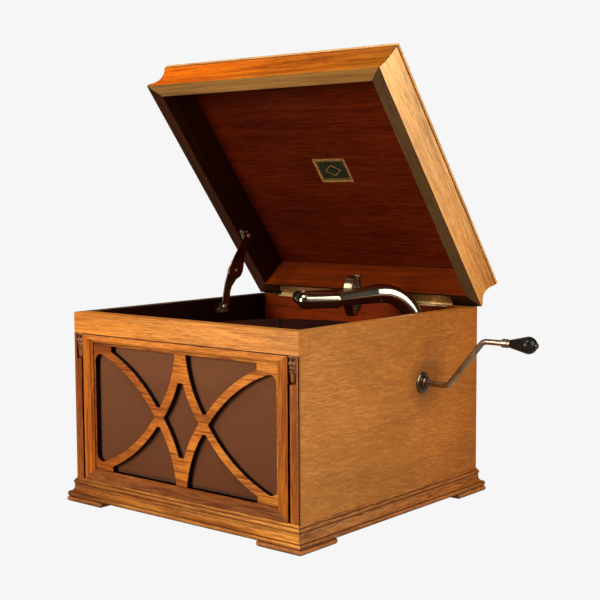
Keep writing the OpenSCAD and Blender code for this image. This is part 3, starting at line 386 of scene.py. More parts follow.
soft_box("front_box", place=(-0.9, -2.7, 0.9), aim=(0.0, 0.0, 0.25), size=(1.0, 1.3), watts=92.0)
soft_box("side_box", place=(2.57, 0.04, 1.78), aim=(0.08, 0.19, 1.78), size=(1.72, 2.5), watts=100.0)
soft_box("high_box", place=(0.1, -1.2, 2.5), aim=(0.0, 0.0, 0.3), size=(1.2, 0.9), watts=34.0)
print("soft boxes: front, side and high")

# %% [markdown]
# Wood is a stack of patterns stretched along the grain: slow bands of growth, streaks and fibres,
# dark ring lines, short dashes for oak's open pores, and on quartered boards pale flecks for the
# rays. An image of wood would be quicker, but it repeats, and its grain wouldn't follow each board.
# Every board is shifted, so that no two match.

# %% Grain
GRAIN = {"x": (0, 0, 0), "y": (0, 0, math.radians(-90)), "z": (0, math.radians(90), 0)}
RAY_SLANT = math.radians(5)
# Each pattern: repeats to the metre along and across the grain, then detail, roughness, distortion
SLOW_BANDS = ((1.4, 13), 3.0, 0.5, 0.7)
STREAKS = ((5.5, 105), 3.0, 0.55, 0.5)
RING_LINES = ((13, 330), 2.5, 0.5, 0.35)
PORE_DASHES = ((75, 1500), 2.0, 0.5)
PORE_BELTS = ((5, 60), 2.0, 0.5)
RAY_FLECKS = ((58, 480), 1.5, 0.5, 0.9)
TINT_PATCHES = ((5, 9), 3.0, 0.55)
CROSS_STREAKS = ((70, 760), 4.0, 0.6, 0.3)


def lighter(tone, much):
    """Paler oak is also yellower: its blue rises most."""
    return (min(1.0, tone[0] * (1 + 0.28 * much)), tone[1] * (1 + 0.50 * much),
            tone[2] * (1 + 0.95 * much))


def darker(tone, much):
    """Darker oak is also redder: its blue falls most."""
    return tone[0] * (1 - 0.48 * much), tone[1] * (1 - 0.60 * much), tone[2] * (1 - 0.66 * much)


class Board:
    """Where a board's patterns lie."""

    def __init__(self, tree, grain, shift, lid):
        self.tree = tree
        self.turn = GRAIN[grain]
        self.shift = (shift * 1.7, shift * 0.9, shift * 0.6)
        self.lid = lid

    def field(self, pattern, turn=None):
        """One pattern, stretched along the grain or along another turn."""
        (along, across), *settings = pattern
        scale = (along, across, across)
        return noise(self.tree, placed(self.tree, scale, turn or self.turn, self.shift, self.lid), *settings)

    def axis(self, axis):
        return axis_of(self.tree, axis, self.lid)


print("grain along", *GRAIN)

# %% Figure of the wood
def figured(board, tone, spread, short):
    """Bands, streaks and fibres. short is 0 for long grain, and 1 where a quartered board shows it
    broken into short flakes. Hands back the figure, the fibres alone and the colour."""
    tree = board.tree
    fibres = ((15 + 55 * short, 430 + 330 * short), 4.0, 0.65, 0.1 + 0.4 * short)
    slow, streak, fibre = board.field(SLOW_BANDS), board.field(STREAKS), board.field(fibres)
    figure = total(tree, [(0.30 * (1 - short), slow), (0.34 * (1 - 0.6 * short), streak),
                          (0.36 + 0.504 * short, fibre)])
    shades = [(0.40, darker(tone, spread)), (0.50, tone), (0.60, lighter(tone, spread))]
    return figure, fibre, ramp(tree, figure, shades)


def with_rings(board, colour, tone, strength):
    """Ring lines, each a few centimetres long and about two millimetres apart."""
    line = ramp(board.tree, board.field(RING_LINES), [(0.36, 1.0), (0.44, 0.0)])
    return veiled(board.tree, colour, line, strength, darker(tone, 1.25))


def with_pores(board, colour, tone, strength):
    """Open pores, short dark dashes that crowd in belts. Hands back their mask too, for the relief."""
    dash = total(board.tree, [(0.75, board.field(PORE_DASHES)), (0.25, board.field(PORE_BELTS))])
    pore = ramp(board.tree, dash, [(0.41, 1.0), (0.48, 0.0)])
    return pore, veiled(board.tree, colour, pore, strength, tuple(c * 0.42 for c in tone))


def with_rays(board, colour, tone, strength):
    """Pale flecks of the rays, a few degrees off the grain."""
    slant = (board.turn[0] + RAY_SLANT, board.turn[1], board.turn[2])
    fleck = ramp(board.tree, board.field(RAY_FLECKS, slant), [(0.54, 0.0), (0.62, 1.0)])
    glow = tuple(min(1.0, c * rise) for c, rise in zip(tone, (1.40, 1.65, 2.1)))
    return veiled(board.tree, colour, fleck, strength, glow)


print("figure ready")

# %% [markdown]
# A century of use lies over the figure, with painted shade among it. Boards change colour along their
# length, hands dull the wood round the crank, wax and dust darken the quirks along with painted shade, the
# inside of the case is darker, and reveals and shadow lines are painted dark. Each is a mask over the
# colour, read from the board's own coordinates.

# %% Age and stain
# Dark colour of real joints such as mitres, and of the painted shade in quirks and along rail edges.
JOINT_AND_SHADE = (0.050, 0.014, 0.004)
# Dust and painted shade: how far the darkening of quirks and joints reaches.
WAX_AND_SHADE_REACH = 0.006
MITRE_HALF = 0.0008


def graded(board, colour, axis, half, first, last):
    """A slow change of colour along the board, between two factors."""
    run = maths(board.tree, "DIVIDE", maths(board.tree, "SUBTRACT", board.axis(axis), -half), 2 * half)
    return tinted(board.tree, colour, ramp(board.tree, run, [(0.0, first), (1.0, last)]))


def handled(board, colour, patch, centre, radius):
    """Dull wood round a place that hands touch, with a ragged edge."""
    gap = node(board.tree, "VectorMath", operation="DISTANCE")
    gap.inputs[1].default_value = centre
    wire(board.tree, board_coords(board.tree, board.lid), gap.inputs[0])
    ragged = total(board.tree, [(1.0, gap.outputs["Value"]), (0.05, patch)])
    dull = ramp(board.tree, maths(board.tree, "DIVIDE", ragged, radius), [(0.6, 0.62), (1.0, 1.0)])
    return tinted(board.tree, colour, dull)


def stained_and_shaded(board, colour, figure, axes, limits, stain_and_shade, *end_grain):
    """Another colour on the faces beyond all the limits, mottled by the figure or by end grain. It lays real
    stains, and also painted shade on reveals and shadow lines.
    """
    tree = board.tree
    contrast = 0.48
    if end_grain:
        figure = board.field(CROSS_STREAKS, GRAIN[end_grain[0]])
        contrast = 0.16
    mottle = ramp(tree, figure, [(0.38, tuple(c * (1 - contrast) for c in stain_and_shade)),
                                 (0.62, tuple(min(1.0, c * (1 + contrast)) for c in stain_and_shade))])
    mask = None
    for axis, limit in zip(axes, limits):
        part = beyond(tree, axis, limit, board.lid)
        mask = part if mask is None else maths(tree, "MULTIPLY", mask, part)
    return blend_colour(tree, "MIX", mask, colour, mottle)


def mitred(board, colour, sum_at):
    """The dark line of a mitre, where the size of X plus Y comes to one sum."""
    tree = board.tree
    side = maths(tree, "ABSOLUTE", board.axis("x"), 0.0)
    off_line = maths(tree, "SUBTRACT", maths(tree, "ADD", side, board.axis("y")), sum_at)
    line = maths(tree, "LESS_THAN", maths(tree, "ABSOLUTE", off_line, 0.0), MITRE_HALF)
    return veiled(tree, colour, line, 0.8, JOINT_AND_SHADE)


print("age ready")

# %% [markdown]
# A wood is the figure, the age laid over it, and a varnish. Old varnish is thin and dull, so it is a
# low shine with a slight coat; a full gloss would mirror the lamps. Pores sink and fibres rise.

# %% Wood
def wood(name, grain, tone, spread=1.0, lines=0.5, pores=0.5, rays=0.0, shift=0.0, rough=0.40,
         coat=0.03, shine=0.12, lid=False, drift=None, stains_and_shades=(), dirt_and_shade=0.8, smudge=None, short=0.0,
         mitre=None):
    """Varnished wood. tone is its middle colour and spread how far its bands differ; lines, pores, rays and
    dirt_and_shade are strengths, the last for dust and painted shade in quirks and joints; drift, smudge and
    stains_and_shades are what graded, handled and stained_and_shaded take."""
    mat, tree, shader = new_tree(name)
    board = Board(tree, grain, shift, lid)
    figure, fibre, colour = figured(board, tone, spread, short)
    colour = with_rings(board, colour, tone, lines)
    pore, colour = with_pores(board, colour, darker(tone, spread), pores)
    if rays:
        colour = with_rays(board, colour, tone, rays)
    patch = board.field(TINT_PATCHES)
    colour = tinted(tree, colour, ramp(tree, patch, [(0.32, 0.78), (0.64, 1.12)]))
    if drift:
        colour = graded(board, colour, *drift)
    if smudge:
        colour = handled(board, colour, patch, *smudge)
    for stain_and_shade in stains_and_shades:
        colour = stained_and_shaded(board, colour, figure, *stain_and_shade)
    if mitre is not None:
        colour = mitred(board, colour, mitre)
    if dirt_and_shade:
        # Dust and painted shade: the colour darkens where the faces are hidden.
        clean_and_unshaded = crevice_dust_and_shade(tree, WAX_AND_SHADE_REACH)
        colour = tinted(tree, colour, ramp(tree, clean_and_unshaded, [(0.42, 1.0 - dirt_and_shade), (0.86, 1.0)]))
    wire(tree, colour, shader.inputs["Base Color"])
    matt = ramp(tree, figure, [(0.38, rough + 0.10), (0.62, rough - 0.05)])
    wire(tree, matt, shader.inputs["Roughness"])
    relief = total(tree, [(-0.6, pore), (0.4, fibre)])
    wire(tree, bump(tree, relief, 0.30, 0.0003), shader.inputs["Normal"])
    set_sockets(shader, Specular_IOR_Level=shine, Coat_Weight=coat, Coat_Roughness=0.25)
    return mat


SKIN = 0.0005


def shaded_quirks(*heights):
    """Painted shade: a dark line in a quirk of a moulding, one at each height."""
    return [(("+z", "-z"), (z - SKIN, z + SKIN), JOINT_AND_SHADE) for z in heights]


GOLD, BROWN, SIDE = (0.59, 0.208, 0.031), (0.250, 0.060, 0.0065), (0.395, 0.132, 0.0200)
INNER_BLACK, INNER_RED = (0.0075, 0.0014, 0.0008), (0.140, 0.0165, 0.0010)
# Painted shade: near-black for reveals and gaps that lie in shadow.
REVEAL_SHADE = (0.0040, 0.0016, 0.0010)
print("wood ready")

# %% [markdown]
# The grille's frame, the top rail, posts and plinth are plain-sawn oak with long dark lines, and
# each takes its own tone, because polish and light have changed them apart. Most of them grow paler
# towards the right end. The edges that the finishes need are read first.

# %% Edges of the front
RAIL_INSIDE = reach("top_rail", "y", HIGH)
PLINTH_MITRE = reach("plinth_front", "x", HIGH) + reach("plinth_front", "y", LOW)
FRAME_TOP = reach("frame_top_rail", "z", HIGH)
FRAME_FOOT = reach("frame_bottom_rail", "z", LOW)
STILE_EDGE = reach("frame_right", "x", HIGH)
CARVING_FOOT = reach("drop_carvings", "z", LOW)
FRET_HALF = reach("frame_right", "x", LOW)
FRET_FRONT = CASE_FRONT + 0.0040
print("grille: half", FRET_HALF, "front", FRET_FRONT)

# %% Oak of the front
# Painted shade: dark lines in the plinth's quirks.
PLINTH_QUIRK_SHADE = shaded_quirks(0.0304, 0.0246, 0.0135, 0.0077)
RAIL_END = (0.43, 0.160, 0.032)
oak_rail = wood("oak_rail", "x", GOLD, spread=0.55, lines=0.40, shift=0.05, short=0.35,
                drift=("x", 0.2, (1.08, 1.02, 0.75), (0.97, 1.10, 1.70)),
                stains_and_shades=[(("+y",), (RAIL_INSIDE - 0.0006,), INNER_BLACK),
                        (("|x",), (CASE_HALF - 0.0002,), RAIL_END, "y")])
oak_frame_top = wood("oak_frame_top", "x", (0.60, 0.185, 0.023), spread=0.8, lines=0.40, shift=0.11,
                     # Painted shade with the joint: a dark line along the top of the frame's top rail.
                     short=0.3, stains_and_shades=[(("+z",), (FRAME_TOP - 0.0011,), JOINT_AND_SHADE)])
oak_frame_low = wood("oak_frame_low", "x", (0.22, 0.060, 0.009), shift=0.19, short=0.3,
                     # Painted shade with the joint: a dark line along the foot of the bottom rail.
                     stains_and_shades=shaded_quirks(FRAME_FOOT + 0.0001))
oak_plinth = wood("oak_plinth", "x", (0.35, 0.110, 0.0150), shift=0.27, short=0.2,
                  drift=("x", 0.21, (0.70, 0.62, 0.52), (1.45, 1.70, 1.70)),
                  stains_and_shades=PLINTH_QUIRK_SHADE, mitre=PLINTH_MITRE)
oak_stile = wood("oak_stile", "z", (0.355, 0.088, 0.0036), lines=0.65, shift=0.31, short=0.2,
                 drift=("x", 0.18, (0.88, 0.82, 0.75), (1.14, 1.26, 1.25)),
                 # Painted shade: the stile's side face in the gap beside the post is laid near-black.
                 stains_and_shades=[(("|x", "+y", "-z"),
                          (STILE_EDGE - 0.0007, CASE_FRONT + 0.0007, CARVING_FOOT - 0.0002), REVEAL_SHADE)])
oak_post = wood("oak_post", "z", BROWN, lines=0.85, shift=0.37, dirt_and_shade=0.6,
                drift=("x", 0.19, (0.80, 0.74, 0.70), (1.22, 1.32, 1.35)))
oak_fret = wood("oak_fret", "x", (0.385, 0.104, 0.0085), spread=0.9, lines=0.85, shift=0.43, short=0.35,
                drift=("x", FRET_HALF, (0.66, 0.52, 0.20), (1.42, 1.64, 1.80)),
                # Painted shade: every face behind the fret's front, the reveals of its openings, is laid
                # near-black.
                stains_and_shades=[(("+y",), (FRET_FRONT + 0.0006,), REVEAL_SHADE)])
oak_foot = wood("oak_foot", "x", (0.33, 0.100, 0.020), lines=0.4, shift=0.71)
carved_wood = wood("carved_wood", "z", (0.255, 0.085, 0.020), lines=0.4, shift=0.52,
                   rough=0.34, coat=0.15, shine=0.25, dirt_and_shade=0.6)
print("oak of the front: 8 tones and the carvings")

# %% [markdown]
# The sides are quartered boards: calm and even, with short pale flecks instead of long lines. One board
# shows its polished face outside and a darker colour inside, so the inside colour is a mask behind the
# face's limit. The side with the crank is dull round the rod, where hands have rubbed it.

# %% Oak of the sides and back
SIDE_DRIFT = ("y", 0.196, (1.09, 1.24, 1.62), (0.83, 0.70, 0.40))
SIDE_WOOD = {"spread": 0.25, "lines": 0.06, "pores": 0.25, "rays": 0.50, "short": 1.0,
             "drift": SIDE_DRIFT}
CRANK_HOLE = (0.2, 0.072, 0.176)
SMUDGE_RADIUS = 0.075
RIM_DIRT = (0.10, 0.05, 0.025)
FRONT_EDGE = CASE_FRONT + 0.0003
INSIDE = reach("bottom_board", "x", HIGH) + SKIN
BACK_INSIDE = reach("back_board", "y", LOW) + SKIN
BEHIND_POSTS = -0.17
oak_side_right = wood("oak_side_right", "y", SIDE, shift=0.17, smudge=(CRANK_HOLE, SMUDGE_RADIUS),
                      # Painted shade: a near-black line on the side face at the front corner.
                      stains_and_shades=[(("-y",), (CASE_FRONT + 0.0010,), REVEAL_SHADE),
                              (("-y", "-x"), (FRONT_EDGE, CASE_HALF - 0.0010), BROWN),
                              (("-x", "+y"), (INSIDE, BEHIND_POSTS), INNER_RED)], **SIDE_WOOD)
oak_side_left = wood("oak_side_left", "y", SIDE, shift=0.77, coat=0.0, shine=0.05,
                     stains_and_shades=[(("-y",), (FRONT_EDGE,), BROWN),
                             (("+z",), (RIM - 0.0008,), RIM_DIRT),
                             (("+x", "+y"), (-INSIDE, BEHIND_POSTS), INNER_BLACK)], **SIDE_WOOD)
oak_back = wood("oak_back", "x", SIDE, spread=0.8, lines=0.35, rays=0.2, shift=0.57, short=0.4,
                coat=0.0, shine=0.03, stains_and_shades=[(("-y",), (BACK_INSIDE,), INNER_RED)])
oak_plinth_side = wood("oak_plinth_side", "y", (0.36, 0.122, 0.026), lines=0.30, rays=0.35, shift=0.63,
                       short=0.6, drift=SIDE_DRIFT, stains_and_shades=PLINTH_QUIRK_SHADE, mitre=PLINTH_MITRE)
oak_foot_side = wood("oak_foot_side", "y", (0.35, 0.110, 0.022), lines=0.4, rays=0.2, shift=0.75)
print("oak of the sides and back: 5 tones")

# %% [markdown]
# The lid is a mitred frame of hollow moulding with a flat top. Its rails run round the lid, so each
# has its grain along its own length, and those in sight a dark line at the mitre. The rim that meets
# the case is olive and dull at the front, and nearly black on the left. All places are those of the
# shut lid.

# %% Oak of the lid
OLIVE = (0.25, 0.118, 0.027)
COVE_TOP = 0.3092
RIM_FACE = (("-z",), (RIM + SKIN,))
# Painted shadow: a dark band at the head of the cove, under the edge of the top.
COVE_HEAD_SHADOW = (("+z",), (COVE_TOP,), (0.20, 0.055, 0.010))
ABOVE_RIM = RIM + 0.0004
LID_MITRE = 0.0056
LID_INSIDE_X, LID_INSIDE_FRONT, LID_INSIDE_BACK = 0.18745, -0.18215, 0.17715
oak_lid_right = wood("oak_lid_right", "y", (0.80, 0.37, 0.095), spread=0.55, lines=0.25, rays=0.15,
                     shift=0.73, lid=True, short=0.3, mitre=LID_MITRE,
                     drift=("y", 0.2, (1.14, 1.36, 2.10), (0.66, 0.54, 0.38)),
                     stains_and_shades=[COVE_HEAD_SHADOW, (*RIM_FACE, (0.085, 0.043, 0.015)),
                             (("-x", "+z"), (LID_INSIDE_X, ABOVE_RIM), (0.050, 0.018, 0.005))])
oak_lid_left = wood("oak_lid_left", "y", (0.55, 0.19, 0.036), lines=0.3, shift=0.79, lid=True,
                    coat=0.0, shine=0.04,
                    stains_and_shades=[COVE_HEAD_SHADOW, (*RIM_FACE, (0.034, 0.0085, 0.0022)),
                            (("+x", "+z"), (-LID_INSIDE_X, ABOVE_RIM), (0.034, 0.0060, 0.0020))])
oak_lid_front = wood("oak_lid_front", "x", (0.40, 0.090, 0.0040), spread=0.8, lines=0.45, shift=0.83,
                     lid=True, mitre=LID_MITRE,
                     drift=("x", 0.2, (1.36, 1.12, 0.36), (0.80, 1.02, 1.20)),
                     stains_and_shades=[COVE_HEAD_SHADOW, (*RIM_FACE, OLIVE), (("+y",), (LID_INSIDE_FRONT,), OLIVE)])
oak_lid_back = wood("oak_lid_back", "x", (0.46, 0.15, 0.028), lines=0.4, shift=0.87, lid=True,
                    coat=0.0, shine=0.04,
                    stains_and_shades=[(*RIM_FACE, (0.020, 0.0060, 0.0020)),
                            (("-y",), (LID_INSIDE_BACK,), (0.125, 0.017, 0.0016))])
oak_lid_top = wood("oak_lid_top", "x", (0.62, 0.33, 0.110), spread=0.7, lines=0.35, rays=0.15,
                   shift=0.91, lid=True, short=0.3)
print("oak of the lid: 5 tones")

# %% [markdown]
# Inside, the lid's panel and the deck are mahogany, dark red and matt. The boards under the deck and
# the horn are raw, and the crank's grip is turned from a black, polished wood.

# %% Other woods
mahogany_lid = wood("mahogany_lid", "x", (0.088, 0.0090, 0.0011), spread=0.8, lines=0.45, pores=0.4,
                    drift=("x", 0.18, (0.82, 0.78, 0.75), (1.14, 1.28, 1.40)), shift=0.44, rough=0.50,
                    coat=0.0, shine=0.02, lid=True, dirt_and_shade=0.5, short=0.35)
mahogany_deck = wood("mahogany_deck", "x", (0.045, 0.0060, 0.0012), spread=0.8, lines=0.35, shift=0.24,
                     rough=0.50, coat=0.0, shine=0.04, dirt_and_shade=0.5)
raw_wood = wood("raw_wood", "x", (0.32, 0.19, 0.09), spread=0.6, lines=0.3, pores=0.3, shift=0.12,
                rough=0.62, coat=0.0)
black_wood = wood("black_wood", "x", (0.008, 0.0062, 0.0045), spread=0.5, lines=0.2, pores=0.2,
                  shift=0.66, rough=0.24, coat=0.06, shine=0.18, dirt_and_shade=0.0)
print("other woods: mahogany in two tones, raw and black")

# %% [markdown]
# The fittings are nickel on brass: a mirror broken by fine scratches, with warm cloudy patches where
# the plating has thinned. A plain mirror would look new, so noise drives the tarnish and the
# roughness. The crank is worn to a brownish metal, and the hinges and stay are brass gone brown.

# %% Metals
CLOUDS = (26, 26, 26)
HAIRS = (900, 900, 120)
HAIR_TURN = (0.5, 0.3, 0.9)
# Grime and painted shade in the joints of the fittings.
GRIME_AND_SHADE, GRIME_AND_SHADE_REACH = 0.6, 0.003
POLISHED = (0.98, 0.93, 0.84)


def metal(name, bright, tarnish, amount, rough, scratch=0.5, hair_depth=0.00004, heads=None):
    """Plated or bare metal with cloudy tarnish, fine scratches, and joints darkened by grime and painted
    shade. amount is the share of tarnish, and heads a place in X beyond which screw heads are rubbed bright."""
    mat, tree, shader = new_tree(name)
    cloud = noise(tree, placed(tree, CLOUDS), 5.0, 0.62, 0.4)
    cover = ramp(tree, cloud, [(0.60 - amount, 1.0), (0.80 - amount * 0.6, 0.0)])
    colour = blend_colour(tree, "MIX", cover, bright, tarnish)
    # Grime and painted shade: the colour darkens where the metal is hidden.
    clean_and_unshaded = ramp(tree, crevice_dust_and_shade(tree, GRIME_AND_SHADE_REACH), [(0.35, 1.0 - GRIME_AND_SHADE), (0.80, 1.0)])
    colour = tinted(tree, colour, clean_and_unshaded)
    if heads:
        colour = blend_colour(tree, "MIX", beyond(tree, "+x", heads), colour, POLISHED)
    wire(tree, colour, shader.inputs["Base Color"])
    hair = noise(tree, placed(tree, HAIRS, HAIR_TURN), 2.0, 0.5)
    matt = total(tree, [(0.12, cover), (scratch * 0.16, hair)])
    wire(tree, maths(tree, "ADD", matt, rough - 0.08 * scratch), shader.inputs["Roughness"])
    wire(tree, bump(tree, hair, 0.2, hair_depth), shader.inputs["Normal"])
    set_sockets(shader, Metallic=1.0)
    return mat


PLATE_HEADS = -0.1820
nickel = metal("nickel", (0.76, 0.77, 0.66), (0.52, 0.48, 0.36), 0.03, 0.022, scratch=0.20,
               hair_depth=0.000006)
sound_nickel = metal("dark_nickel", (0.52, 0.45, 0.34), (0.24, 0.17, 0.10), 0.20, 0.16)
worn_nickel = metal("worn_nickel", (0.45, 0.37, 0.29), (0.15, 0.105, 0.070), 0.20, 0.24)
bronzed = metal("bronzed_nickel", (0.20, 0.155, 0.115), (0.070, 0.045, 0.028), 0.25, 0.25)
brass = metal("brass", (0.92, 0.70, 0.40), (0.50, 0.33, 0.15), 0.16, 0.38)
# Painted shade: a darkened copy of steel for the spindle, which stands in shade in the well.
shaded_steel = metal("shaded_steel", (0.045, 0.022, 0.014), (0.020, 0.011, 0.007), 0.20, 0.50)
stay_metal = metal("stay_metal", (0.30, 0.25, 0.17), (0.10, 0.065, 0.040), 0.22, 0.16)
stay_plate = metal("stay_plate", (0.42, 0.36, 0.25), (0.14, 0.10, 0.06), 0.15, 0.36, heads=PLATE_HEADS)
rivet_metal = metal("rivet_metal", POLISHED, (0.60, 0.50, 0.38), 0.03, 0.42)
steel = metal("steel", (0.56, 0.55, 0.52), (0.30, 0.27, 0.23), 0.10, 0.25)
cast = metal("cast_paint", (0.10, 0.10, 0.10), (0.05, 0.05, 0.05), 0.20, 0.55)
print("metals: nickel in four wears, brass, stay and rivets, two steels and cast paint")

# %% [markdown]
# The diaphragm of the sound box is a disc of mica: pale, glassy and cloudy. A clear coat over a dull,
# cloudy body gives the glass.

# %% Mica
mica = cloudy("mica", 160, (4.0, 0.6, 0.8), [(0.35, (0.10, 0.09, 0.075)), (0.65, (0.24, 0.22, 0.18))],
              Roughness=0.12, Coat_Weight=0.6)
print("mica ready")

# %% [markdown]
# Each CAD board keeps its mesh and takes its wood along the way a joiner would cut it: rails and
# mouldings along their length, posts upright, the lid's side rails along the slope. A solid that a
# piece of this lesson replaces later still gets its finish, in case it is shown alone.

# %% Dress the CAD nodes
DRESS = {
    oak_rail: ["top_rail"],
    oak_frame_top: ["frame_top_rail"],
    oak_frame_low: ["frame_bottom_rail"],
    oak_plinth: ["plinth_front", "plinth_back"],
    oak_stile: ["frame_left", "frame_right"],
    oak_post: ["post_left", "post_right"],
    oak_fret: ["fret_panel"],
    oak_side_right: ["side_right"],
    oak_side_left: ["side_left"],
    oak_back: ["back_board"],
    oak_plinth_side: ["plinth_left", "plinth_right"],
    oak_foot: ["foot_front_left", "foot_back_right"],
    oak_foot_side: ["foot_front_right", "foot_back_left"],
    oak_lid_right: ["lid_right"],
    oak_lid_left: ["lid_left"],
    oak_lid_front: ["lid_front"],
    oak_lid_back: ["lid_back"],
    oak_lid_top: ["lid_top"],
    mahogany_lid: ["lid_panel"],
    mahogany_deck: ["motor_board"],
    raw_wood: ["bottom_board", "horn"],
    carved_wood: ["drop_carvings"],
    nickel: ["arm_base", "tone_arm", "gooseneck", "brake_lever", "speed_knob", "platter"],
    sound_nickel: ["sound_box", "needle_bar", "needle_screw"],
    worn_nickel: ["crank_rod", "crank_ferrule"],
    bronzed: ["escutcheon"],
    brass: ["hinge_case_leaves", "hinge_lid_leaves", "case_screws", "lid_screws", "second_wheel",
            "governor"],
    stay_metal: ["stay_lower_link", "stay_upper_link"],
    stay_plate: ["stay_case_bracket", "stay_lid_bracket"],
    steel: ["winding_gear", "spring_barrel"],
    shaded_steel: ["spindle"],
    cast: ["motor_frame", "horn_throat"],
    black_wood: ["crank_grip"],
    mica: ["diaphragm"],
}
dressed = set()
for material, names in DRESS.items():
    for name in names:
        slots = nodes[name].data.materials
        slots.clear()
        slots.append(material)
        dressed.add(name)
print("dressed", len(dressed), "left for cloth and felt:", sorted(set(nodes) - dressed))

# %% [markdown]
# Sanding takes the sharp arris off a board, and the soft line of light along the edge is what tells
# wood from cardboard. The solids come as loose triangles, so a weld joins them before a bevel
# rounds the edges. Both are modifiers: the CAD mesh itself isn't touched.

# %% Softened arrises
ARRIS = 0.0007
ARRIS_ANGLE = math.radians(30)
WELD = 0.00001
SANDED = ["top_rail", "side_left", "side_right", "back_board", "lid_top", "motor_board"]


def round_arrises(name):
    """Welds a CAD node and rounds its sharp edges."""
    piece = nodes[name]
    weld = piece.modifiers.new("weld", "WELD")
    weld.merge_threshold = WELD
    edge = piece.modifiers.new("arris", "BEVEL")
    edge.width = ARRIS
    edge.segments = 2
    edge.limit_method = "ANGLE"
    edge.angle_limit = ARRIS_ANGLE
    edge.harden_normals = False


for name in SANDED:
    round_arrises(name)
print("arrises rounded on", len(SANDED), "boards")

# %% [markdown]
# The fretwork lies closer to the front of its frame than the plain solid does. It could be drawn
# afresh from its arcs, but a copy of the solid keeps the two alike: it is welded, cut to the frame's
# opening by four planes, brought forward and given softened arrises, as a sawn panel has.

# %% Fretwork
HAIR = 0.0001
FRET_ARRIS = 0.0005
FRET_BACK = FRET_FRONT + 0.0074
FRET_LOW = reach("frame_bottom_rail", "z", HIGH)
FRET_HIGH = reach("frame_top_rail", "z", LOW)


def soften(bm, edges, width):
    """Rounds edges by a small bevel."""
    bmesh.ops.bevel(bm, geom=edges, offset=width, offset_type="OFFSET", segments=2, profile=0.5,
                    affect="EDGES", clamp_overlap=True, material=-1)


def cut_away(bm, point, outward):
    """Cuts a closed mesh by a plane, throws away what is outside and closes the cut."""
    cut = bmesh.ops.bisect_plane(bm, geom=bm.verts[:] + bm.edges[:] + bm.faces[:], dist=0.000001,
                                 plane_co=point, plane_no=outward, clear_outer=True)
    rims = [g for g in cut["geom_cut"] if isinstance(g, bmesh.types.BMEdge) and g.is_boundary]
    bmesh.ops.triangle_fill(bm, use_beauty=True, use_dissolve=True, edges=rims)


low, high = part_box("fret_panel")
squeeze = (FRET_BACK - FRET_FRONT) / (high[1] - low[1])
bm = bmesh.new()
bm.from_mesh(nodes["fret_panel"].data)
bmesh.ops.remove_doubles(bm, verts=bm.verts, dist=WELD)
for point, outward in (((FRET_HALF, 0, 0), (1, 0, 0)), ((-FRET_HALF, 0, 0), (-1, 0, 0)),
                       ((0, 0, FRET_HIGH), (0, 0, 1)), ((0, 0, FRET_LOW), (0, 0, -1))):
    cut_away(bm, point, outward)
bmesh.ops.translate(bm, vec=(0, -low[1], 0), verts=bm.verts)
bmesh.ops.scale(bm, vec=(1, squeeze, 1), verts=bm.verts)
bmesh.ops.translate(bm, vec=(0, FRET_FRONT, 0), verts=bm.verts)
bmesh.ops.dissolve_limit(bm, angle_limit=math.radians(1), verts=bm.verts, edges=bm.edges)
bmesh.ops.recalc_face_normals(bm, faces=bm.faces)
soften(bm, [e for e in bm.edges if all(v.co.y < FRET_FRONT + HAIR for v in e.verts)], FRET_ARRIS)
open_edges = len([e for e in bm.edges if not e.is_manifold])
fretwork = add_object("fretwork", bm, oak_fret)
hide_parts("fret_panel")
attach(fretwork, "case")
print("fretwork:", len(fretwork.data.polygons), "faces,", open_edges, "open edges")

# %% [markdown]
# The folding stay is two stamped blades that swell into one broad knuckle. The plain links of the
# frame are straight, so each blade is cut here from its own outline, in the plane of Y and Z, round
# the same pivots, and swings with the plain link's body.

# %% Stay outlines
LOWER_BLADE = [(0.0782, 0.2559), (0.0775, 0.2500), (0.0808, 0.2462), (0.0870, 0.2462), (0.0925, 0.2490),
               (0.0950, 0.2540), (0.0958, 0.2644), (0.0960, 0.2713), (0.1000, 0.2799), (0.1103, 0.2901),
               (0.1185, 0.2960), (0.1222, 0.3030), (0.1207, 0.3100), (0.1150, 0.3155), (0.1060, 0.3172),
               (0.0978, 0.3140), (0.0928, 0.3078), (0.0904, 0.2991), (0.0843, 0.2848), (0.0798, 0.2655)]
UPPER_BLADE = [(0.0925, 0.3078), (0.0912, 0.3000), (0.0950, 0.2935), (0.1020, 0.2905), (0.1110, 0.2910),
               (0.1191, 0.2955), (0.1237, 0.3032), (0.1255, 0.3120), (0.1268, 0.3219), (0.1310, 0.3320),
               (0.1370, 0.3420), (0.1416, 0.3500), (0.1425, 0.3570), (0.1390, 0.3620), (0.1335, 0.3625),
               (0.1290, 0.3585), (0.1250, 0.3500), (0.1138, 0.3383), (0.0991, 0.3193)]
KNUCKLE, FOOT_PIVOT, HEAD_PIVOT = (0.1079, 0.3045), (0.0840, 0.2515), (0.1364, 0.3568)
print("outlines:", len(LOWER_BLADE), "and", len(UPPER_BLADE), "points")

# %% [markdown]
# A stamped blade is flat with soft edges, so its outline is extruded and gets a small bevel. The
# rivets are flattened spheres, rubbed brighter than the blades.

# %% Stay blades
BLADE_EDGE = 0.0006
DOME_FLATNESS = 0.45
PIVOT_DOME, HEAD_DOME = 0.0026, 0.0022


def pushed_out(bm, faces, shift):
    """Extrudes faces into a solid and hands back the moved corners."""
    grown = bmesh.ops.extrude_face_region(bm, geom=faces)["geom"]
    moved = [g for g in grown if isinstance(g, bmesh.types.BMVert)]
    bmesh.ops.translate(bm, vec=shift, verts=moved)
    return moved


def paint(verts, slot):
    """Gives every face at these corners a slot of the material list."""
    for vert in verts:
        for face in vert.link_faces:
            face.material_index = slot


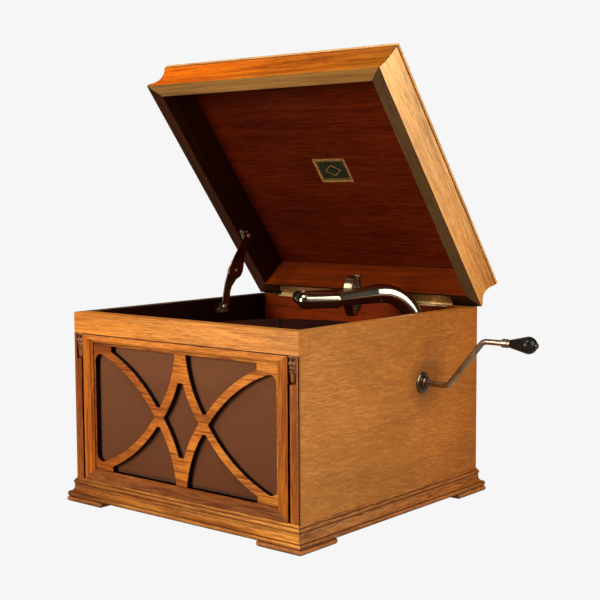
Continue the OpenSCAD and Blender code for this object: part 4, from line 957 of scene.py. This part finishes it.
def blade(name, outline, near, far, rivets, body, stands_for):
    """A flat link with rounded edges between two depths in X, with domed rivets on its face."""
    bm = bmesh.new()
    face = bm.faces.new([bm.verts.new((near, y, z)) for y, z in outline])
    pushed_out(bm, [face], (far - near, 0, 0))
    bmesh.ops.recalc_face_normals(bm, faces=bm.faces)
    soften(bm, [e for e in bm.edges if abs(e.verts[0].co.x - e.verts[1].co.x) < WELD], BLADE_EDGE)
    for (y, z), size in rivets:
        dome = bmesh.ops.create_uvsphere(bm, u_segments=20, v_segments=10, radius=size)["verts"]
        bmesh.ops.scale(bm, vec=(DOME_FLATNESS, 1, 1), verts=dome)
        bmesh.ops.translate(bm, vec=(far, y, z), verts=dome)
        paint(dome, 1)
    piece = add_object(name, bm, stay_metal)
    piece.data.materials.append(rivet_metal)
    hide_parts(stands_for)
    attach(piece, body)


blade("stay_lower_blade", LOWER_BLADE, -0.1813, -0.1798, [(FOOT_PIVOT, PIVOT_DOME)], "stay_low",
      "stay_lower_link")
blade("stay_upper_blade", UPPER_BLADE, -0.1795, -0.1780, [(KNUCKLE, PIVOT_DOME), (HEAD_PIVOT, HEAD_DOME)],
      "stay_up", "stay_upper_link")
print("stay: two blades and three rivets")

# %% [markdown]
# A strip of thin dark leather closes the joint behind the hinges. It is glued to the lid and turns
# with it. It could be a bent sheet, but it is straight: a bar with softened edges is laid in the shut
# lid and folded open with it.

# %% Joint strip
STRIP_LOW = Vector((-0.1985, 0.19665, 0.26325))
STRIP_HIGH = Vector((0.1985, 0.19725, 0.26720))
FOLD_OPEN = Matrix.Rotation(-LID_OPEN, 3, "X")

leather = cloudy("joint_leather", 400, (4.0, 0.65),
                 [(0.35, (0.012, 0.006, 0.003)), (0.65, (0.045, 0.022, 0.010))],
                 relief=(0.5, 0.0002), Roughness=0.7, Specular_IOR_Level=0.05)
bm = bmesh.new()
bmesh.ops.create_cube(bm, size=1.0)
bmesh.ops.scale(bm, vec=STRIP_HIGH - STRIP_LOW, verts=bm.verts)
bmesh.ops.translate(bm, vec=(STRIP_HIGH + STRIP_LOW) / 2, verts=bm.verts)
soften(bm, bm.edges[:], 0.0002)
bmesh.ops.rotate(bm, cent=HINGE, matrix=FOLD_OPEN, verts=bm.verts)
strip = add_object("joint_strip", bm, leather)
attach(strip, "lid")
print("joint strip:", len(strip.data.polygons), "faces")

# %% [markdown]
# Behind the fretwork hangs a thin brown cloth, stretched on the back of the panel so that the horn
# can speak through it. It is one flat sheet, so a grid is enough. Its weave could be modelled thread
# by thread, but at 0.7 mm crossed waves with a little relief look the same.

# %% Grille cloth
CLOTH_GAP, CLOTH_THICK, CLOTH_CELL = 0.0003, 0.0006, 0.006
THREAD = 0.0007
SHADE_FOOT, SHADE_RISE = 0.045, 0.183


def woven(name, light, dark, pitch):
    """Plain weave in the plane of X and Z, a little darker towards its foot."""
    mat, tree, shader = new_tree(name)
    vector = placed(tree, (1, 1, 1))
    waves = []
    for axis in ("X", "Z"):
        wave = node(tree, "TexWave", bands_direction=axis, wave_profile="SIN", Scale=0.314 / pitch,
                    Distortion=0.4, Detail=2.0, Detail_Scale=3.0)
        wire(tree, vector, wave.inputs["Vector"])
        waves.append(wave.outputs["Fac"])
    weave = maths(tree, "MULTIPLY", waves[0], waves[1])
    slub = noise(tree, placed(tree, (60, 60, 900)), 3.0, 0.6)
    warp = noise(tree, placed(tree, (700, 60, 40)), 3.0, 0.6)
    tone = total(tree, [(0.40, weave), (0.35, slub), (0.25, warp)])
    colour = ramp(tree, tone, [(0.20, dark), (0.62, light)])
    fall = maths(tree, "DIVIDE", maths(tree, "SUBTRACT", axis_of(tree, "z"), SHADE_FOOT), SHADE_RISE)
    shade = ramp(tree, fall, [(0.0, (0.82, 0.72, 0.64)), (0.70, 0.99), (1.0, (1.36, 1.46, 1.52))])
    wire(tree, tinted(tree, colour, shade), shader.inputs["Base Color"])
    wire(tree, bump(tree, weave, 0.5, 0.0002), shader.inputs["Normal"])
    set_sockets(shader, Roughness=0.9, Specular_IOR_Level=0.1, Sheen_Weight=0.05, Sheen_Roughness=0.5)
    return mat


cloth_size = (2 * FRET_HALF, FRET_HIGH - FRET_LOW)
cloth_centre = (0, FRET_BACK + CLOTH_GAP, (FRET_LOW + FRET_HIGH) / 2)
cells = [round(side / CLOTH_CELL) for side in cloth_size]
bm = bmesh.new()
bmesh.ops.create_grid(bm, x_segments=cells[0], y_segments=cells[1], size=0.5)
bmesh.ops.scale(bm, vec=(*cloth_size, 1), verts=bm.verts)
bmesh.ops.rotate(bm, cent=(0, 0, 0), matrix=Matrix.Rotation(math.radians(90), 3, "X"), verts=bm.verts)
bmesh.ops.translate(bm, vec=cloth_centre, verts=bm.verts)
cloth_weave = woven("cloth_weave", (0.148, 0.052, 0.0205), (0.093, 0.031, 0.011), THREAD)
cloth = add_object("grille_cloth_woven", bm, cloth_weave, smooth=True)
thread = cloth.modifiers.new("thread", "SOLIDIFY")
thread.thickness = CLOTH_THICK
thread.offset = -1
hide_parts("grille_cloth")
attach(cloth, "case")
print("cloth:", cloth_size)

# %% [markdown]
# The turntable wears a disc of felt with a hole for the spindle. A flat disc would have hard edges,
# so a small outline with chamfered lips is spun into a ring. Its nap is a very fine noise.

# %% Felt
FELT_HOLE = 0.0062
FELT_LIP = 0.0005


def felt_material(name, light, dark):
    """Dull wool, blotched by wear."""
    mat, tree, shader = new_tree(name)
    nap = noise(tree, placed(tree, (700, 700, 700)), 4.0, 0.7)
    blot = noise(tree, placed(tree, (30, 30, 30)), 3.0, 0.6)
    tone = total(tree, [(0.6, nap), (0.4, blot)])
    wire(tree, ramp(tree, tone, [(0.35, dark), (0.65, light)]), shader.inputs["Base Color"])
    wire(tree, bump(tree, nap, 0.8, 0.0004), shader.inputs["Normal"])
    set_sockets(shader, Roughness=1.0, Specular_IOR_Level=0.05)
    return mat


felt_low, felt_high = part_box("felt_mat")
felt_r, felt_foot, felt_top = felt_high[0], felt_low[2], felt_high[2]
outline = [(FELT_HOLE, felt_foot), (felt_r, felt_foot), (felt_r, felt_top - FELT_LIP),
           (felt_r - FELT_LIP, felt_top), (FELT_HOLE + FELT_LIP, felt_top),
           (FELT_HOLE, felt_top - FELT_LIP)]
bm = bmesh.new()
ring = [bm.verts.new((x, 0, z)) for x, z in outline]
edges = [bm.edges.new((a, b)) for a, b in zip(ring, ring[1:] + ring[:1])]
bmesh.ops.spin(bm, geom=ring + edges, cent=(0, 0, 0), axis=(0, 0, 1), angle=math.tau, steps=120,
               use_merge=True)
bmesh.ops.remove_doubles(bm, verts=bm.verts, dist=WELD)
bmesh.ops.recalc_face_normals(bm, faces=bm.faces)
felt_wool = felt_material("felt", (0.040, 0.0075, 0.0035), (0.018, 0.0035, 0.0018))
felt = add_object("turntable_felt", bm, felt_wool)
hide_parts("felt_mat")
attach(felt, "turntable")
print("felt radius", round(felt_r, 4))

# %% [markdown]
# A small framed transfer sits on the lid's panel: a plain gold border with a sloping inner edge, a
# fine inner line, and a lozenge on a dark green field. A flat picture would do from afar, but thin
# plates catch the light as raised gilt does. They are laid in the shut lid and folded open with it.

# %% Finishes of the transfer
gilt = cloudy("gilt", 420, (4.0, 0.65), [(0.38, (0.13, 0.045, 0.012)), (0.56, (0.50, 0.25, 0.060))],
              Metallic=0.35, Roughness=0.45)
green_field = cloudy("green_field", 140, (4.0, 0.6),
                     [(0.35, (0.007, 0.009, 0.004)), (0.65, (0.022, 0.026, 0.010))],
                     Roughness=0.4, Specular_IOR_Level=0.2)
print("finishes:", gilt.name, "worn through to brown, and", green_field.name)

# %% [markdown]
# The border is high outside and slopes inwards: a face is inset, the ring is extruded, and its inner
# corners are raised again. The field and the lozenges are plates a fraction of a millimetre thick,
# each a little nearer to the eye than the last, so that no two faces meet.

# %% Transfer on the lid
PANEL_UNDERSIDE = 0.309
LABEL_X, LABEL_Y = (-0.0150, 0.0428), (-0.0313, 0.0099)
GILT, GREEN = 0, 1
BORDER, BORDER_THICK = 0.0046, 0.0006
LINE_OUTER, LINE_INNER, LINE_THICK = 0.0056, 0.0062, 0.0004
SLOPE = 0.65
# Half width and half height of each lozenge, its finish and its gap to the panel
LOZENGES = [(0.0150, 0.0098, GILT, 0.0002), (0.0128, 0.0082, GREEN, 0.00035)]
LOZENGE_THICK = 0.00012
FIELD_INSET, FIELD_GAP, FIELD_THICK = 0.0040, 0.00005, 0.0002


def rectangle(inset):
    """The label's corners, drawn in by an inset."""
    (x0, x1), (y0, y1) = LABEL_X, LABEL_Y
    return [(x0 + inset, y0 + inset), (x1 - inset, y0 + inset), (x1 - inset, y1 - inset),
            (x0 + inset, y1 - inset)]


def lozenge(half_wide, half_tall):
    """Four points round the label's middle."""
    x, y = sum(LABEL_X) / 2, sum(LABEL_Y) / 2
    return [(x - half_wide, y), (x, y - half_tall), (x + half_wide, y), (x, y + half_tall)]


def under_panel(bm, outline, near):
    """A face under the shut lid's panel, at a gap to it."""
    face = bm.faces.new([bm.verts.new((x, y, PANEL_UNDERSIDE - near)) for x, y in outline])
    face.normal_update()
    return face


def plate(bm, outline, near, thick, slot):
    """A thin plate under the panel."""
    face = under_panel(bm, outline, near)
    corners = list(face.verts)
    paint(corners + pushed_out(bm, [face], (0, 0, -thick)), slot)


def frame_bar(bm, outer, inner, thick):
    """A mitred frame between two insets: high at its outer edge, sloping to its inner one."""
    face = under_panel(bm, rectangle(outer), 0.0)
    inset = bmesh.ops.inset_region(bm, faces=[face], use_boundary=True, use_even_offset=True,
                                   thickness=inner - outer)
    inner_corners = {v.co.to_tuple(6)[:2] for v in face.verts}
    bmesh.ops.delete(bm, geom=[face], context="FACES_ONLY")
    moved = pushed_out(bm, inset["faces"], (0, 0, -thick))
    raised = [v for v in moved if v.co.to_tuple(6)[:2] in inner_corners]
    bmesh.ops.translate(bm, vec=(0, 0, SLOPE * thick), verts=raised)


bm = bmesh.new()
frame_bar(bm, 0.0, BORDER, BORDER_THICK)
frame_bar(bm, LINE_OUTER, LINE_INNER, LINE_THICK)
for half_wide, half_tall, finish, near in LOZENGES:
    plate(bm, lozenge(half_wide, half_tall), near, LOZENGE_THICK, finish)
plate(bm, rectangle(FIELD_INSET), FIELD_GAP, FIELD_THICK, GREEN)
bmesh.ops.recalc_face_normals(bm, faces=bm.faces)
bmesh.ops.rotate(bm, cent=HINGE, matrix=FOLD_OPEN, verts=bm.verts)
label = add_object("lid_transfer", bm, gilt)
label.data.materials.append(green_field)
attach(label, "lid")
print("transfer:", len(label.data.polygons), "faces,", round((LABEL_X[1] - LABEL_X[0]) * 1000, 1), "mm wide")
